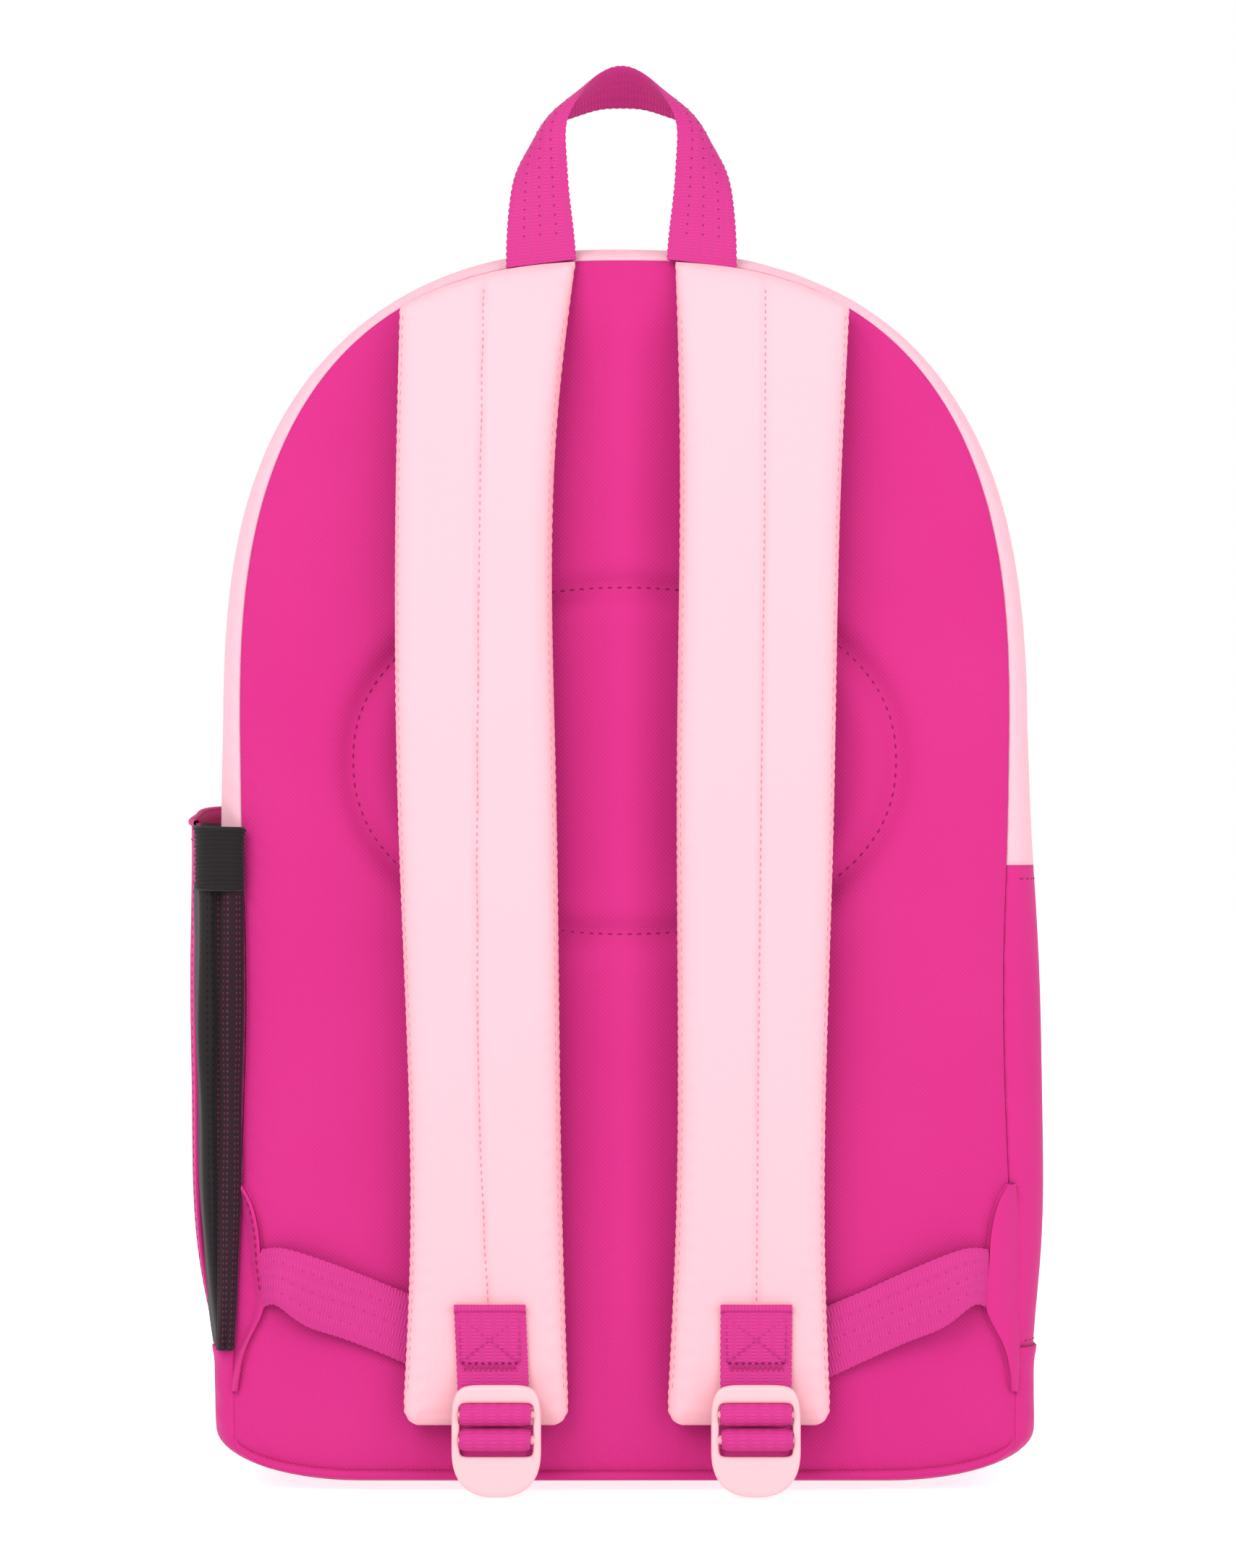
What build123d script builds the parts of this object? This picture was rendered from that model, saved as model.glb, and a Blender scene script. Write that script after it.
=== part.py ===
from build123d import *
import os
from math import cos, pi, radians, sin

# School backpack, millimetres. +Z is up, the wearer's side with the shoulder straps faces -Y,
# and the origin is on the floor under the middle of the base.

# ---------------------------------------------------------------- driving dimensions
# bag outline, seen from the wearer's side
crown_power = 2.5            # roundness of the crown: 2 is an ellipse, more is squarer
spring_z = 269               # where the crown starts on the straight sides
gusset_half = 141            # half width over the gusset
gusset_top = 434
seam_half = 134.5            # half width of the back panel at its seam
seam_top = 430.6
panel_foot = 4               # the panels' lower edge
panel_corner = 15

# bag depth
back_y = -72                 # outer face of the back panel
front_y = 55                 # outer face of the front panel
cloth = 1.2
shell = 1.4                  # gusset cloth with its lining
foam_depth = 7.6
foam_inset = 4               # the foam stops this far inside the back panel's seam
gusset_foot = 219            # lower end of the light gusset, where the side panels start
base_rise = 50               # height of the base band on the sides
base_half = 143.6
side_bulge_right = 146.2
side_bulge_left = 143.6      # flatter, under the bottle pocket

# main zip: its track is an arc about an axis along Y
track_z = 288                # height of the track's axis
tape_r = 143.6               # outer face of the tape
zip_y = 8                    # the line where the two rows of teeth meet
track_half = 66              # degrees of arc on each side of the top
tape_width = 15
tape_depth = 1
coil_width = 3
coil_depth = 1.6
zip_gap = 1                  # half the gap between the rows, for the slider's post
slider_rest = 4.2            # degrees from the top, where each slider parks
bend_start = 30              # degrees from the top, above the fold's highest crossing

# folding front flap
fold_tilt = 33               # slope of the crease planes, degrees from level
fold_y = 8                   # lower crease plane, at the zip
fold_z = 356
fold_band = 33               # cloth between the two crease planes

# front pocket
pocket_half = 106
pocket_top = 206
pocket_foot = 14
pocket_y = 78
pocket_zip_z = 178
pocket_zip_half = 92
pocket_slider_rest = -80

# bottle pocket on the left side
elastic_low = 211
elastic_top = 231
bottle_foot = 50.5
bottle_seam_y = -40          # the mesh meets the outer cloth here

# shoulder straps: back line as (y, z), with the padding's depth at each point
strap_back = [(-73.8, 431), (-77.8, 410), (-80.4, 365), (-81, 285), (-80.4, 190),
              (-79.6, 105), (-79.5, 60), (-79.5, 22)]
strap_depth = [5, 10, 13, 13, 13, 12, 9, 6.8]
strap_foot = 24
webbing = 25
webbing_depth = 1.5
bar_z = 29.3                 # the strap hangs its ladder lock from this bar
lock_y = -95
lower_bar_z = 20.5
bar_r = 1.8
lock_top = 39.5
lock_foot = 1
lock_half = 15.4
lock_depth = 3.6
wing_y = -73.8
wing_depth = 2.4

# grab handle
handle_y = -69
handle_foot = 436.5
handle_top = 498
handle_half = 40

os.makedirs("parts", exist_ok=True)


# ---------------------------------------------------------------- shared shapes
def finish(piece, name):
    piece.part.label = name
    export_step(piece.part, f"parts/{name}.step")


def upright(y):
    """Plane facing the wearer at depth y: +X right, +Z up, extrusion runs towards -Y."""
    return Plane.XZ.offset(-y)


def crown(half, top):
    """Superelliptic crown, from its left spring point over the top to its right one."""
    points = []
    for step in range(17):
        turn = pi * step / 16
        lean = abs(cos(turn)) ** (2 / crown_power)
        lift = abs(sin(turn)) ** (2 / crown_power)
        x = half * lean * (1 if turn > pi / 2 else -1)
        points.append((x, spring_z + (top - spring_z) * lift))
    return points


def arch_face(half, top, foot, corner=0.0, mode=Mode.ADD):
    """Filled bag outline from foot to crown, its lower corners rounded if corner is given."""
    with BuildLine() as outline:
        arch = Spline(*crown(half, top), tangents=[(0, 1), (0, -1)])
        feet = [arch @ 1, (half, foot), (-half, foot), arch @ 0]
        if corner:
            FilletPolyline(*feet, radius=corner)
        else:
            Polyline(*feet)
    make_face(outline.line, mode=mode)


def band_face(points, shift):
    """Strip between a smooth line and the same line moved by shift."""
    with BuildLine() as outline:
        near = Spline(*points)
        far = Spline(*[(a + shift[0], b + shift[1]) for a, b in points])
        Line(near @ 0, far @ 0)
        Line(near @ 1, far @ 1)
    make_face(outline.line)


def on_track(radius, turn):
    """Point of the main zip's arc, turn degrees from the top towards +X."""
    return (radius * sin(radians(turn)), track_z + radius * cos(radians(turn)))


def track_face(inner, outer, start, end):
    """Piece of ring about the main zip's axis, between two turns from the top."""
    middle = (start + end) / 2
    with BuildLine() as outline:
        ThreePointArc(on_track(outer, start), on_track(outer, middle), on_track(outer, end))
        Line(on_track(outer, end), on_track(inner, end))
        ThreePointArc(on_track(inner, end), on_track(inner, middle), on_track(inner, start))
        Line(on_track(inner, start), on_track(outer, start))
    make_face(outline.line)


def crease(beyond):
    """Sloping plane across the front, beyond millimetres past the lower crease."""
    tilt = radians(fold_tilt)
    normal = Vector(0, sin(tilt), cos(tilt))
    return Plane(origin=Vector(0, fold_y, fold_z) + normal * beyond, z_dir=normal)


lower_crease = crease(-0.15)
fold_low = crease(0.15)
fold_high = crease(fold_band - 0.15)
upper_crease = crease(fold_band + 0.15)
inner_half = gusset_half - shell
inner_top = gusset_top - shell
tape_back_y = zip_y - zip_gap - tape_width
tape_front_y = zip_y + zip_gap + tape_width

# ---------------------------------------------------------------- back panel
with BuildPart() as back_panel_cover:
    with BuildSketch(upright(back_y + cloth)):
        arch_face(seam_half, seam_top, panel_foot, panel_corner)
    extrude(amount=cloth)
finish(back_panel_cover, "back_panel_cover")

with BuildPart() as back_foam:
    with BuildSketch(upright(back_y + cloth + foam_depth)):
        arch_face(seam_half - foam_inset, seam_top - foam_inset, panel_foot + foam_inset,
                  panel_corner)
    extrude(amount=foam_depth)
finish(back_foam, "back_foam")

with BuildPart() as back_lining:
    with BuildSketch(upright(back_y + 2 * cloth + foam_depth)):
        arch_face(inner_half - 0.3, inner_top - 0.3, panel_foot, panel_corner)
    extrude(amount=cloth)
finish(back_lining, "back_lining")

piping = 2.8
piping_depth = 1.6
with BuildPart() as back_piping:
    with BuildSketch(upright(back_y)):
        arch_face(seam_half + piping, seam_top + piping, panel_foot - piping, panel_corner + piping)
        arch_face(seam_half, seam_top, panel_foot, panel_corner, mode=Mode.SUBTRACT)
    extrude(amount=piping_depth)
finish(back_piping, "back_piping")

# ---------------------------------------------------------------- gusset and side panels
turned_y = back_y + 0.2 + cloth
with BuildPart() as gusset_rear:
    with BuildSketch(upright(tape_back_y - 0.2)):
        arch_face(gusset_half, gusset_top, gusset_foot)
        arch_face(inner_half, inner_top, gusset_foot - 1, mode=Mode.SUBTRACT)
    extrude(amount=tape_back_y - 0.2 - turned_y + cloth)
    # the edge turned in to the back panel's seam
    with BuildSketch(upright(turned_y)):
        arch_face(gusset_half, gusset_top, gusset_foot)
        arch_face(seam_half + 0.3, seam_top + 0.3, gusset_foot - 1, mode=Mode.SUBTRACT)
    extrude(amount=cloth)
finish(gusset_rear, "gusset_rear")

for side, sign, bulge in (("left", -1, side_bulge_left), ("right", 1, side_bulge_right)):
    wall = [(sign * gusset_half, gusset_foot - 0.3), (sign * bulge, 135),
            (sign * base_half, base_rise + 0.3)]
    with BuildPart() as side_panel:
        with BuildSketch(upright(front_y)):
            band_face(wall, (-sign * shell, 0))
        extrude(amount=front_y - turned_y + cloth)
        with BuildSketch(upright(turned_y)):
            with BuildLine():
                edge = Spline(*wall)
                Polyline(edge @ 1, (sign * (seam_half + 0.3), base_rise + 0.3),
                         (sign * (seam_half + 0.3), gusset_foot - 0.3), edge @ 0)
            make_face()
        extrude(amount=cloth)
    finish(side_panel, f"side_panel_{side}")

# ---------------------------------------------------------------- base
base_corner = 22
base_cloth = 1.6
board_width = 236
board_depth = 2
board_z = 1.9
with BuildPart() as base_panel:
    with BuildSketch(upright(front_y)):
        for inset, mode in ((0, Mode.ADD), (base_cloth, Mode.SUBTRACT)):
            half = base_half - inset
            with BuildLine():
                Line((half, base_rise + inset), (-half, base_rise + inset))
                FilletPolyline((-half, base_rise + inset), (-half, inset), (half, inset),
                               (half, base_rise + inset), radius=base_corner - inset)
            make_face(mode=mode)
    extrude(amount=front_y - turned_y + cloth)
finish(base_panel, "base_panel")

with BuildPart() as base_board:
    with BuildSketch(Plane.XY.offset(board_z)):
        with Locations((0, (front_y - 62) / 2)):
            RectangleRounded(board_width, front_y + 54, 12)
    extrude(amount=board_depth)
finish(base_board, "base_board")

# ---------------------------------------------------------------- front panel and its fold
with BuildPart() as front_panel_lower:
    with BuildSketch(upright(front_y)):
        arch_face(inner_half - 0.3, inner_top - 0.3, panel_foot, panel_corner)
    extrude(amount=cloth)
    split(bisect_by=lower_crease, keep=Keep.BOTTOM)
finish(front_panel_lower, "front_panel_lower")

with BuildPart() as front_panel_upper:
    with BuildSketch(upright(front_y)):
        arch_face(inner_half - 0.3, inner_top - 0.3, panel_foot)
    extrude(amount=cloth)
    split(bisect_by=upper_crease, keep=Keep.TOP)
finish(front_panel_upper, "front_panel_upper")

with BuildPart() as front_fold:
    with BuildSketch(upright(front_y)):
        arch_face(gusset_half, gusset_top, gusset_foot)
    extrude(amount=front_y - tape_front_y - 0.2)
    with BuildSketch(upright(front_y - cloth)):
        arch_face(inner_half, inner_top, gusset_foot - 1)
    extrude(amount=front_y, mode=Mode.SUBTRACT)
    split(bisect_by=fold_low, keep=Keep.TOP)
    split(bisect_by=fold_high, keep=Keep.BOTTOM)
finish(front_fold, "front_fold")

with BuildPart() as gusset_front_upper:
    with BuildSketch(upright(front_y)):
        arch_face(gusset_half, gusset_top, gusset_foot)
        arch_face(inner_half, inner_top, gusset_foot - 1, mode=Mode.SUBTRACT)
    extrude(amount=front_y - tape_front_y - 0.2)
    split(bisect_by=upper_crease, keep=Keep.TOP)
finish(gusset_front_upper, "gusset_front_upper")

for side, sign in (("left", -1), ("right", 1)):
    with BuildPart() as gusset_front:
        with BuildSketch(upright(front_y)):
            arch_face(gusset_half, gusset_top, gusset_foot)
            arch_face(inner_half, inner_top, gusset_foot - 1, mode=Mode.SUBTRACT)
        extrude(amount=front_y - tape_front_y - 0.2)
        split(bisect_by=lower_crease, keep=Keep.BOTTOM)
        split(bisect_by=Plane.YZ, keep=Keep.TOP if sign > 0 else Keep.BOTTOM)
    finish(gusset_front, f"gusset_front_{side}")

# ---------------------------------------------------------------- main zip
with BuildPart() as main_zip_tape_rear:
    with BuildSketch(upright(zip_y - zip_gap)):
        track_face(tape_r - tape_depth, tape_r, -track_half, track_half)
    extrude(amount=tape_width)
finish(main_zip_tape_rear, "main_zip_tape_rear")

with BuildPart() as main_zip_teeth_rear:
    with BuildSketch(upright(zip_y - zip_gap)):
        track_face(tape_r, tape_r + coil_depth, -track_half, track_half)
    extrude(amount=coil_width)
finish(main_zip_teeth_rear, "main_zip_teeth_rear")

with BuildPart() as main_zip_tape_front:
    with BuildSketch(upright(tape_front_y)):
        track_face(tape_r - tape_depth, tape_r, -track_half, track_half)
    extrude(amount=tape_width)
    split(bisect_by=upper_crease, keep=Keep.TOP)
finish(main_zip_tape_front, "main_zip_tape_front")

with BuildPart() as main_zip_teeth_front:
    with BuildSketch(upright(zip_y + zip_gap + coil_width)):
        track_face(tape_r, tape_r + coil_depth, -track_half, track_half)
    extrude(amount=coil_width)
    split(bisect_by=upper_crease, keep=Keep.TOP)
finish(main_zip_teeth_front, "main_zip_teeth_front")

for side, sign in (("left", -1), ("right", 1)):
    # the stretch of front tape that bends with the fold
    with BuildPart() as zip_fold:
        with BuildSketch(upright(tape_front_y)):
            track_face(tape_r - tape_depth, tape_r, sign * bend_start, sign * track_half)
        extrude(amount=tape_width)
        with BuildSketch(upright(zip_y + zip_gap + coil_width)):
            track_face(tape_r - tape_depth, tape_r + coil_depth, sign * bend_start,
                       sign * track_half)
        extrude(amount=coil_width)
        split(bisect_by=fold_high, keep=Keep.BOTTOM)
    finish(zip_fold, f"zip_fold_{side}")

    # the closed zip down the side, below the sliders' travel
    start = on_track(tape_r, track_half + 0.3)
    run = [(sign * start[0], start[1]), (sign * 137.6, 322), (sign * 140.6, 285),
           (sign * 141.6, gusset_foot + 0.3)]
    with BuildPart() as zip_side:
        with BuildSketch(upright(tape_front_y)):
            band_face(run, (-sign * tape_depth, 0))
        extrude(amount=tape_front_y - tape_back_y)
        with BuildSketch(upright(zip_y + coil_width)):
            band_face(run, (sign * coil_depth, 0))
        extrude(amount=2 * coil_width)
    finish(zip_side, f"zip_side_{side}")

    with BuildPart() as zip_end_tab:
        with BuildSketch(Plane.XY.offset(gusset_foot + 2)):
            with Locations((sign * 144.8, zip_y)):
                RectangleRounded(2.8, 22, 1.3)
        extrude(amount=9)
    finish(zip_end_tab, f"zip_end_tab_{side}")


# ---------------------------------------------------------------- sliders and pulls
slider_half = 7
slider_side = 4.5
lift_off = coil_depth + 1    # the top plate clears the teeth by a millimetre
crown_post = 1.4
crown_inner = 3.6
crown_rise = 3
crown_half = 1.2
plate = 2
post_half = 0.6
post_length = 2.5
pull_width = 9
pull_length = 32
pull_depth = 1.4
pull_hole = 1.8


def slider_shape(plane, head):
    """Slider on a plane whose local x is the travel and y points out of the tape.

    The head, with the post that parts the teeth, is on the side that head gives.
    """
    with BuildSketch(plane) as plates:
        with Locations((0, lift_off + plate / 2)):
            Rectangle(2 * slider_half, plate)
        with Locations((0, -tape_depth - 0.5 - cloth / 2)):
            Rectangle(2 * slider_half, cloth)
    extrude(plates.sketch, amount=slider_side, both=True)
    with BuildSketch(plane) as post:
        with Locations((head * 4.75, (lift_off - tape_depth - 0.5) / 2)):
            Rectangle(post_length, lift_off + tape_depth + 0.5)
    extrude(post.sketch, amount=post_half, both=True)
    with BuildSketch(plane) as bridge:
        with Locations((0, lift_off + plate + (crown_rise + crown_post) / 2)):
            Rectangle(2 * (crown_inner + crown_post), crown_rise + crown_post)
        with Locations((0, lift_off + plate + crown_rise / 2)):
            Rectangle(2 * crown_inner, crown_rise, mode=Mode.SUBTRACT)
    extrude(bridge.sketch, amount=crown_half, both=True)


pin_out = lift_off + plate + 1.7   # height of the pull's pin over the tape

for side, sign in (("left", -1), ("right", 1)):
    turn = radians(sign * slider_rest)
    seat = Plane(origin=(tape_r * sin(turn), zip_y, track_z + tape_r * cos(turn)),
                 x_dir=(cos(turn), 0, -sin(turn)), z_dir=(0, -1, 0))
    with BuildPart() as main_slider:
        slider_shape(seat, -sign)
    finish(main_slider, f"main_slider_{side}")

    # pull lying outwards over the closed zip, its pin held in the slider's crown
    with BuildPart() as main_pull:
        with BuildSketch(seat):
            with Locations((sign * 2.2, pin_out)):
                Circle(0.8)
        extrude(amount=3.4, both=True)
        flat = Plane(origin=seat.origin + seat.y_dir * (pin_out - 0.7), x_dir=seat.x_dir * sign,
                     z_dir=seat.y_dir)
        with BuildSketch(flat):
            with Locations((20, 0)):
                RectangleRounded(pull_length, pull_width, 3)
            with Locations((5.2, 0)):
                Rectangle(6, 6.8)
            with Locations((5.1, 0)):
                Rectangle(7.4, 4.8, mode=Mode.SUBTRACT)
            with Locations((30, 0)):
                Circle(pull_hole, mode=Mode.SUBTRACT)
        extrude(amount=pull_depth)
    finish(main_pull, f"main_pull_{side}")

# ---------------------------------------------------------------- inside of the bag
sleeve_y = -55
sleeve_width = 236
sleeve_foot = 14
sleeve_top = 262
binding_low = 263
binding_top = 271
with BuildPart() as inner_sleeve:
    with BuildSketch(upright(sleeve_y)):
        with Locations((0, (sleeve_top + sleeve_foot) / 2)):
            RectangleRounded(sleeve_width, sleeve_top - sleeve_foot, 10)
    extrude(amount=1)
finish(inner_sleeve, "inner_sleeve")

with BuildPart() as sleeve_binding:
    with BuildSketch(upright(sleeve_y + 1)):
        with Locations((0, (binding_top + binding_low) / 2)):
            Rectangle(sleeve_width, binding_top - binding_low)
    extrude(amount=3)
finish(sleeve_binding, "sleeve_binding")

# ---------------------------------------------------------------- front pocket
pocket_corner = 34
pocket_back = front_y + 0.3
pocket_mid = (pocket_top + pocket_foot) / 2
pocket_tall = pocket_top - pocket_foot
pocket_cloth = 1.6
slot = 11                    # height of the zip's window in the pocket's face
with BuildPart() as front_pocket_shell:
    with BuildSketch(upright(pocket_y)):
        with Locations((0, pocket_mid)):
            RectangleRounded(2 * pocket_half, pocket_tall, pocket_corner)
    extrude(amount=pocket_y - pocket_back)
    with BuildSketch(upright(pocket_y - pocket_cloth)):
        with Locations((0, pocket_mid)):
            RectangleRounded(2 * (pocket_half - pocket_cloth), pocket_tall - 2 * pocket_cloth,
                             pocket_corner - pocket_cloth)
    extrude(amount=pocket_y, mode=Mode.SUBTRACT)
    with BuildSketch(upright(pocket_y + 1)):
        with Locations((0, pocket_zip_z)):
            RectangleRounded(2 * pocket_zip_half, slot, 2)
    extrude(amount=4, mode=Mode.SUBTRACT)
finish(front_pocket_shell, "front_pocket_shell")

pocket_tape_y = pocket_y - 1.8       # outer face of the tapes, just behind the pocket's face
for name, sign in (("front_zip_upper", 1), ("front_zip_lower", -1)):
    with BuildPart() as front_zip:
        with BuildSketch(upright(pocket_tape_y)):
            with Locations((0, pocket_zip_z + sign * (zip_gap + 5))):
                Rectangle(2 * pocket_zip_half + 4, 10)
        extrude(amount=tape_depth)
        with BuildSketch(upright(pocket_tape_y + coil_depth)):
            with Locations((0, pocket_zip_z + sign * (zip_gap + coil_width / 2))):
                Rectangle(2 * pocket_zip_half - 4, coil_width)
        extrude(amount=coil_depth)
    finish(front_zip, name)

pocket_seat = Plane(origin=(pocket_slider_rest, pocket_tape_y, pocket_zip_z), x_dir=(1, 0, 0),
                    z_dir=(0, 0, 1))
with BuildPart() as front_slider:
    slider_shape(pocket_seat, 1)
finish(front_slider, "front_slider")

# pull hanging down the pocket's face, its ring round the slider's crown
ring_low = lift_off + plate + 0.9
ring_high = lift_off + plate + crown_rise + crown_post + 0.5
ring_wire = 1.2
with BuildPart() as front_pull:
    with BuildSketch(Plane.YZ.offset(pocket_slider_rest)):
        with Locations((pocket_tape_y + (ring_low + ring_high + ring_wire) / 2, pocket_zip_z)):
            Rectangle(ring_high - ring_low + ring_wire, 7.4)
            Rectangle(ring_high - ring_low - ring_wire, 5, mode=Mode.SUBTRACT)
    extrude(amount=0.6, both=True)
    with BuildSketch(upright(pocket_tape_y + ring_high + ring_wire)):
        with Locations((pocket_slider_rest, pocket_zip_z - 19)):
            RectangleRounded(pull_width, pull_length, 3)
        with Locations((pocket_slider_rest, pocket_zip_z - 31)):
            Circle(pull_hole, mode=Mode.SUBTRACT)
    extrude(amount=pull_depth)
finish(front_pull, "front_pull")

# ---------------------------------------------------------------- bottle pocket, left side
# plan of the pocket's wall, from the back seam round the side to the front seam
pocket_wall = [(-139, -75.2), (-145, -74.6), (-149.9, -67), (-151.3, -45), (-151.8, 0),
               (-150.8, 36), (-147, 54)]
seam_plane = Plane.XZ.offset(-bottle_seam_y)

with BuildPart() as bottle_pocket_mesh:
    with BuildSketch(Plane.XY.offset(bottle_foot)):
        band_face(pocket_wall, (shell, shell))
    extrude(amount=elastic_low - bottle_foot)
    split(bisect_by=seam_plane, keep=Keep.TOP)
finish(bottle_pocket_mesh, "bottle_pocket_mesh")

with BuildPart() as bottle_pocket_panel:
    with BuildSketch(Plane.XY.offset(bottle_foot)):
        band_face(pocket_wall, (shell, shell))
    extrude(amount=elastic_low - bottle_foot)
    # floor of the pocket, sewn to the base band
    with BuildSketch(Plane.XY.offset(bottle_foot)):
        with BuildLine():
            rim = Spline(*pocket_wall)
            Polyline(rim @ 1, (-144.2, 54), (-144.2, -72.4), rim @ 0)
        make_face()
    extrude(amount=shell)
    split(bisect_by=seam_plane, keep=Keep.BOTTOM)
finish(bottle_pocket_panel, "bottle_pocket_panel")

with BuildPart() as bottle_pocket_elastic:
    with BuildSketch(Plane.XY.offset(elastic_low + 0.1)):
        band_face([(x - 0.4, y - 0.4) for x, y in pocket_wall], (2, 2))
    extrude(amount=elastic_top - elastic_low)
finish(bottle_pocket_elastic, "bottle_pocket_elastic")

# ---------------------------------------------------------------- shoulder straps
# edges of each strap as (x, z) from the top seam down; the straps are not quite mirror images
strap_edges = {
    "left": ([(-78.5, 413), (-79.8, 350), (-78.8, 230), (-75, 80), (-77, 34)],
             [(-17, 428.8), (-23.4, 372), (-23.8, 250), (-21.4, 90), (-19.6, 34)]),
    "right": ([(78.5, 413), (75.4, 350), (72.8, 230), (70, 80), (71.6, 34)],
              [(17.6, 428.8), (19, 372), (18, 250), (17.6, 90), (15, 34)]),
}
lock_x = {"left": -44.4, "right": 45.4}
corner_run = 10


def strap_outline(outer, inner, sign):
    """Front view of a strap: sloping top seam, two long edges, rounded lower corners."""
    with BuildLine() as outline:
        Line(outer[0], inner[0])
        Spline(*outer)
        Spline(*inner)
        low_out = (outer[-1][0] - sign * corner_run, strap_foot)
        low_in = (inner[-1][0] + sign * corner_run, strap_foot)
        for foot, low in ((outer[-1], low_out), (inner[-1], low_in)):
            bulge = (foot[0] + 0.3 * (low[0] - foot[0]), foot[1] + 0.72 * (low[1] - foot[1]))
            ThreePointArc(foot, bulge, low)
        Line(low_out, low_in)
    make_face(outline.line)


def layer_face(near, far):
    """Side view of one layer of a strap, between two shares of its depth, 0 back to 1 front."""
    lines = []
    for share, proud in (near, far):
        lines.append([(y - share * depth - proud, z)
                      for (y, z), depth in zip(strap_back, strap_depth)])
    with BuildLine() as outline:
        back = Spline(*lines[0])
        face = Spline(*lines[1])
        Line(back @ 0, face @ 0)
        Line(back @ 1, face @ 1)
    make_face(outline.line)


layers = {"strap_lining": ((0, 0), (0, cloth)),
          "strap_foam": ((0, cloth), (1, -cloth)),
          "strap_face": ((1, -cloth), (1, 0))}

for side, sign in (("left", -1), ("right", 1)):
    outer_edge, inner_edge = strap_edges[side]
    middle = lock_x[side]
    for layer, (near, far) in layers.items():
        with BuildPart() as strap_layer:
            with BuildSketch(Plane.YZ.offset(sign * 48)):
                layer_face(near, far)
            extrude(amount=40, both=True)
            with BuildSketch(upright(-70)):
                strap_outline(outer_edge, inner_edge, sign)
            extrude(amount=40, mode=Mode.INTERSECT)
        finish(strap_layer, f"{layer}_{side}")

    # webbing sewn on the strap's face; its lower end loops round the ladder lock's upper bar
    with BuildPart() as strap_patch:
        with BuildSketch(Plane.YZ.offset(middle)):
            with BuildLine():
                Polyline((-89.4, 64.5), (-91, 64.5), (-90.2, 44), (-91.6, 39), (-92.7, bar_z),
                         (-91.4, bar_z), (-90.2, 38.4), (-88.4, 43), (-89.4, 64.5))
            make_face()
            with Locations((lock_y, bar_z)):
                Circle(bar_r + 1.6)
                Circle(bar_r + 0.3, mode=Mode.SUBTRACT)
        extrude(amount=webbing / 2 - 0.4, both=True)
    finish(strap_patch, f"strap_patch_{side}")

    # ladder lock: frame with two bars and a tapered thumb tab
    with BuildPart() as ladder_lock:
        window_top = lock_top - 6.3
        window_foot = lock_foot + 13.7
        with BuildSketch(upright(lock_y + lock_depth / 2)):
            with BuildLine():
                FilletPolyline((middle - lock_half, window_foot), (middle - lock_half, lock_top),
                               (middle + lock_half, lock_top), (middle + lock_half, window_foot),
                               radius=3)
                ThreePointArc((middle - lock_half, window_foot), (middle, lock_foot),
                              (middle + lock_half, window_foot))
            make_face()
            with Locations((middle, (window_top + window_foot) / 2)):
                Rectangle(webbing + 0.4, window_top - window_foot, mode=Mode.SUBTRACT)
        extrude(amount=lock_depth)
        for height in (bar_z, lower_bar_z):
            with BuildSketch(Plane.YZ.offset(middle)):
                with Locations((lock_y, height)):
                    Circle(bar_r)
            extrude(amount=webbing / 2 + 1, both=True)
    finish(ladder_lock, f"ladder_lock_{side}")

    # adjuster webbing round the lower bar, with its short tail behind the thumb tab
    with BuildPart() as adjuster_loop:
        with BuildSketch(Plane.YZ.offset(middle)):
            with BuildLine():
                Polyline((-91.7, lower_bar_z), (-91.3, 3), (-92.7, 3), (-92.9, lower_bar_z),
                         (-91.7, lower_bar_z))
            make_face()
            with Locations((lock_y, lower_bar_z)):
                Circle(bar_r + 1.5)
                Circle(bar_r + 0.05, mode=Mode.SUBTRACT)
        extrude(amount=webbing / 2 - 0.4, both=True)
    finish(adjuster_loop, f"adjuster_loop_{side}")

    # folded cloth wing in the side seam that anchors the adjuster
    seam_x = sign * 136.5
    tip_x = sign * 125.6
    with BuildPart() as wing:
        with BuildSketch(upright(wing_y)):
            with BuildLine():
                Polyline((seam_x, 35.5), (sign * 134.5, 107), (tip_x, 86), (tip_x, 64.5),
                         (seam_x, 35.5))
            make_face()
        extrude(amount=wing_depth)
    finish(wing, f"wing_{side}")

    # slack adjuster webbing from the wing, behind the strap, down to the ladder lock
    plan = [(tip_x - sign * 0.2, -75), (sign * 110, -79.2), (sign * 95, -79.4), (sign * 80, -77),
            (sign * 60, -75.8), (sign * 30, -75.8)]
    drop = (middle - webbing / 2 + 0.4, middle + webbing / 2 - 0.4)
    near_x, far_x = (drop[0], drop[1]) if sign > 0 else (drop[1], drop[0])
    with BuildPart() as adjuster_webbing:
        with BuildSketch(Plane.XY.offset(10)):
            band_face(plan, (0, -webbing_depth))
        extrude(amount=80)
        with BuildSketch(upright(-70)):
            with BuildLine():
                Polyline((tip_x, 85.5), (tip_x, 64.5), (sign * 100, 56), (far_x, 34), (far_x, 13),
                         (near_x, 13), (near_x, 46), (sign * 80, 66.5), (sign * 100, 78.5),
                         (tip_x, 85.5))
            make_face()
        extrude(amount=20, mode=Mode.INTERSECT)
        with BuildSketch(Plane.XY.offset(13)):
            with Locations((middle, -83.6)):
                Rectangle(webbing - 0.8, 15)
        extrude(amount=webbing_depth)
    finish(adjuster_webbing, f"adjuster_webbing_{side}")

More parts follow.
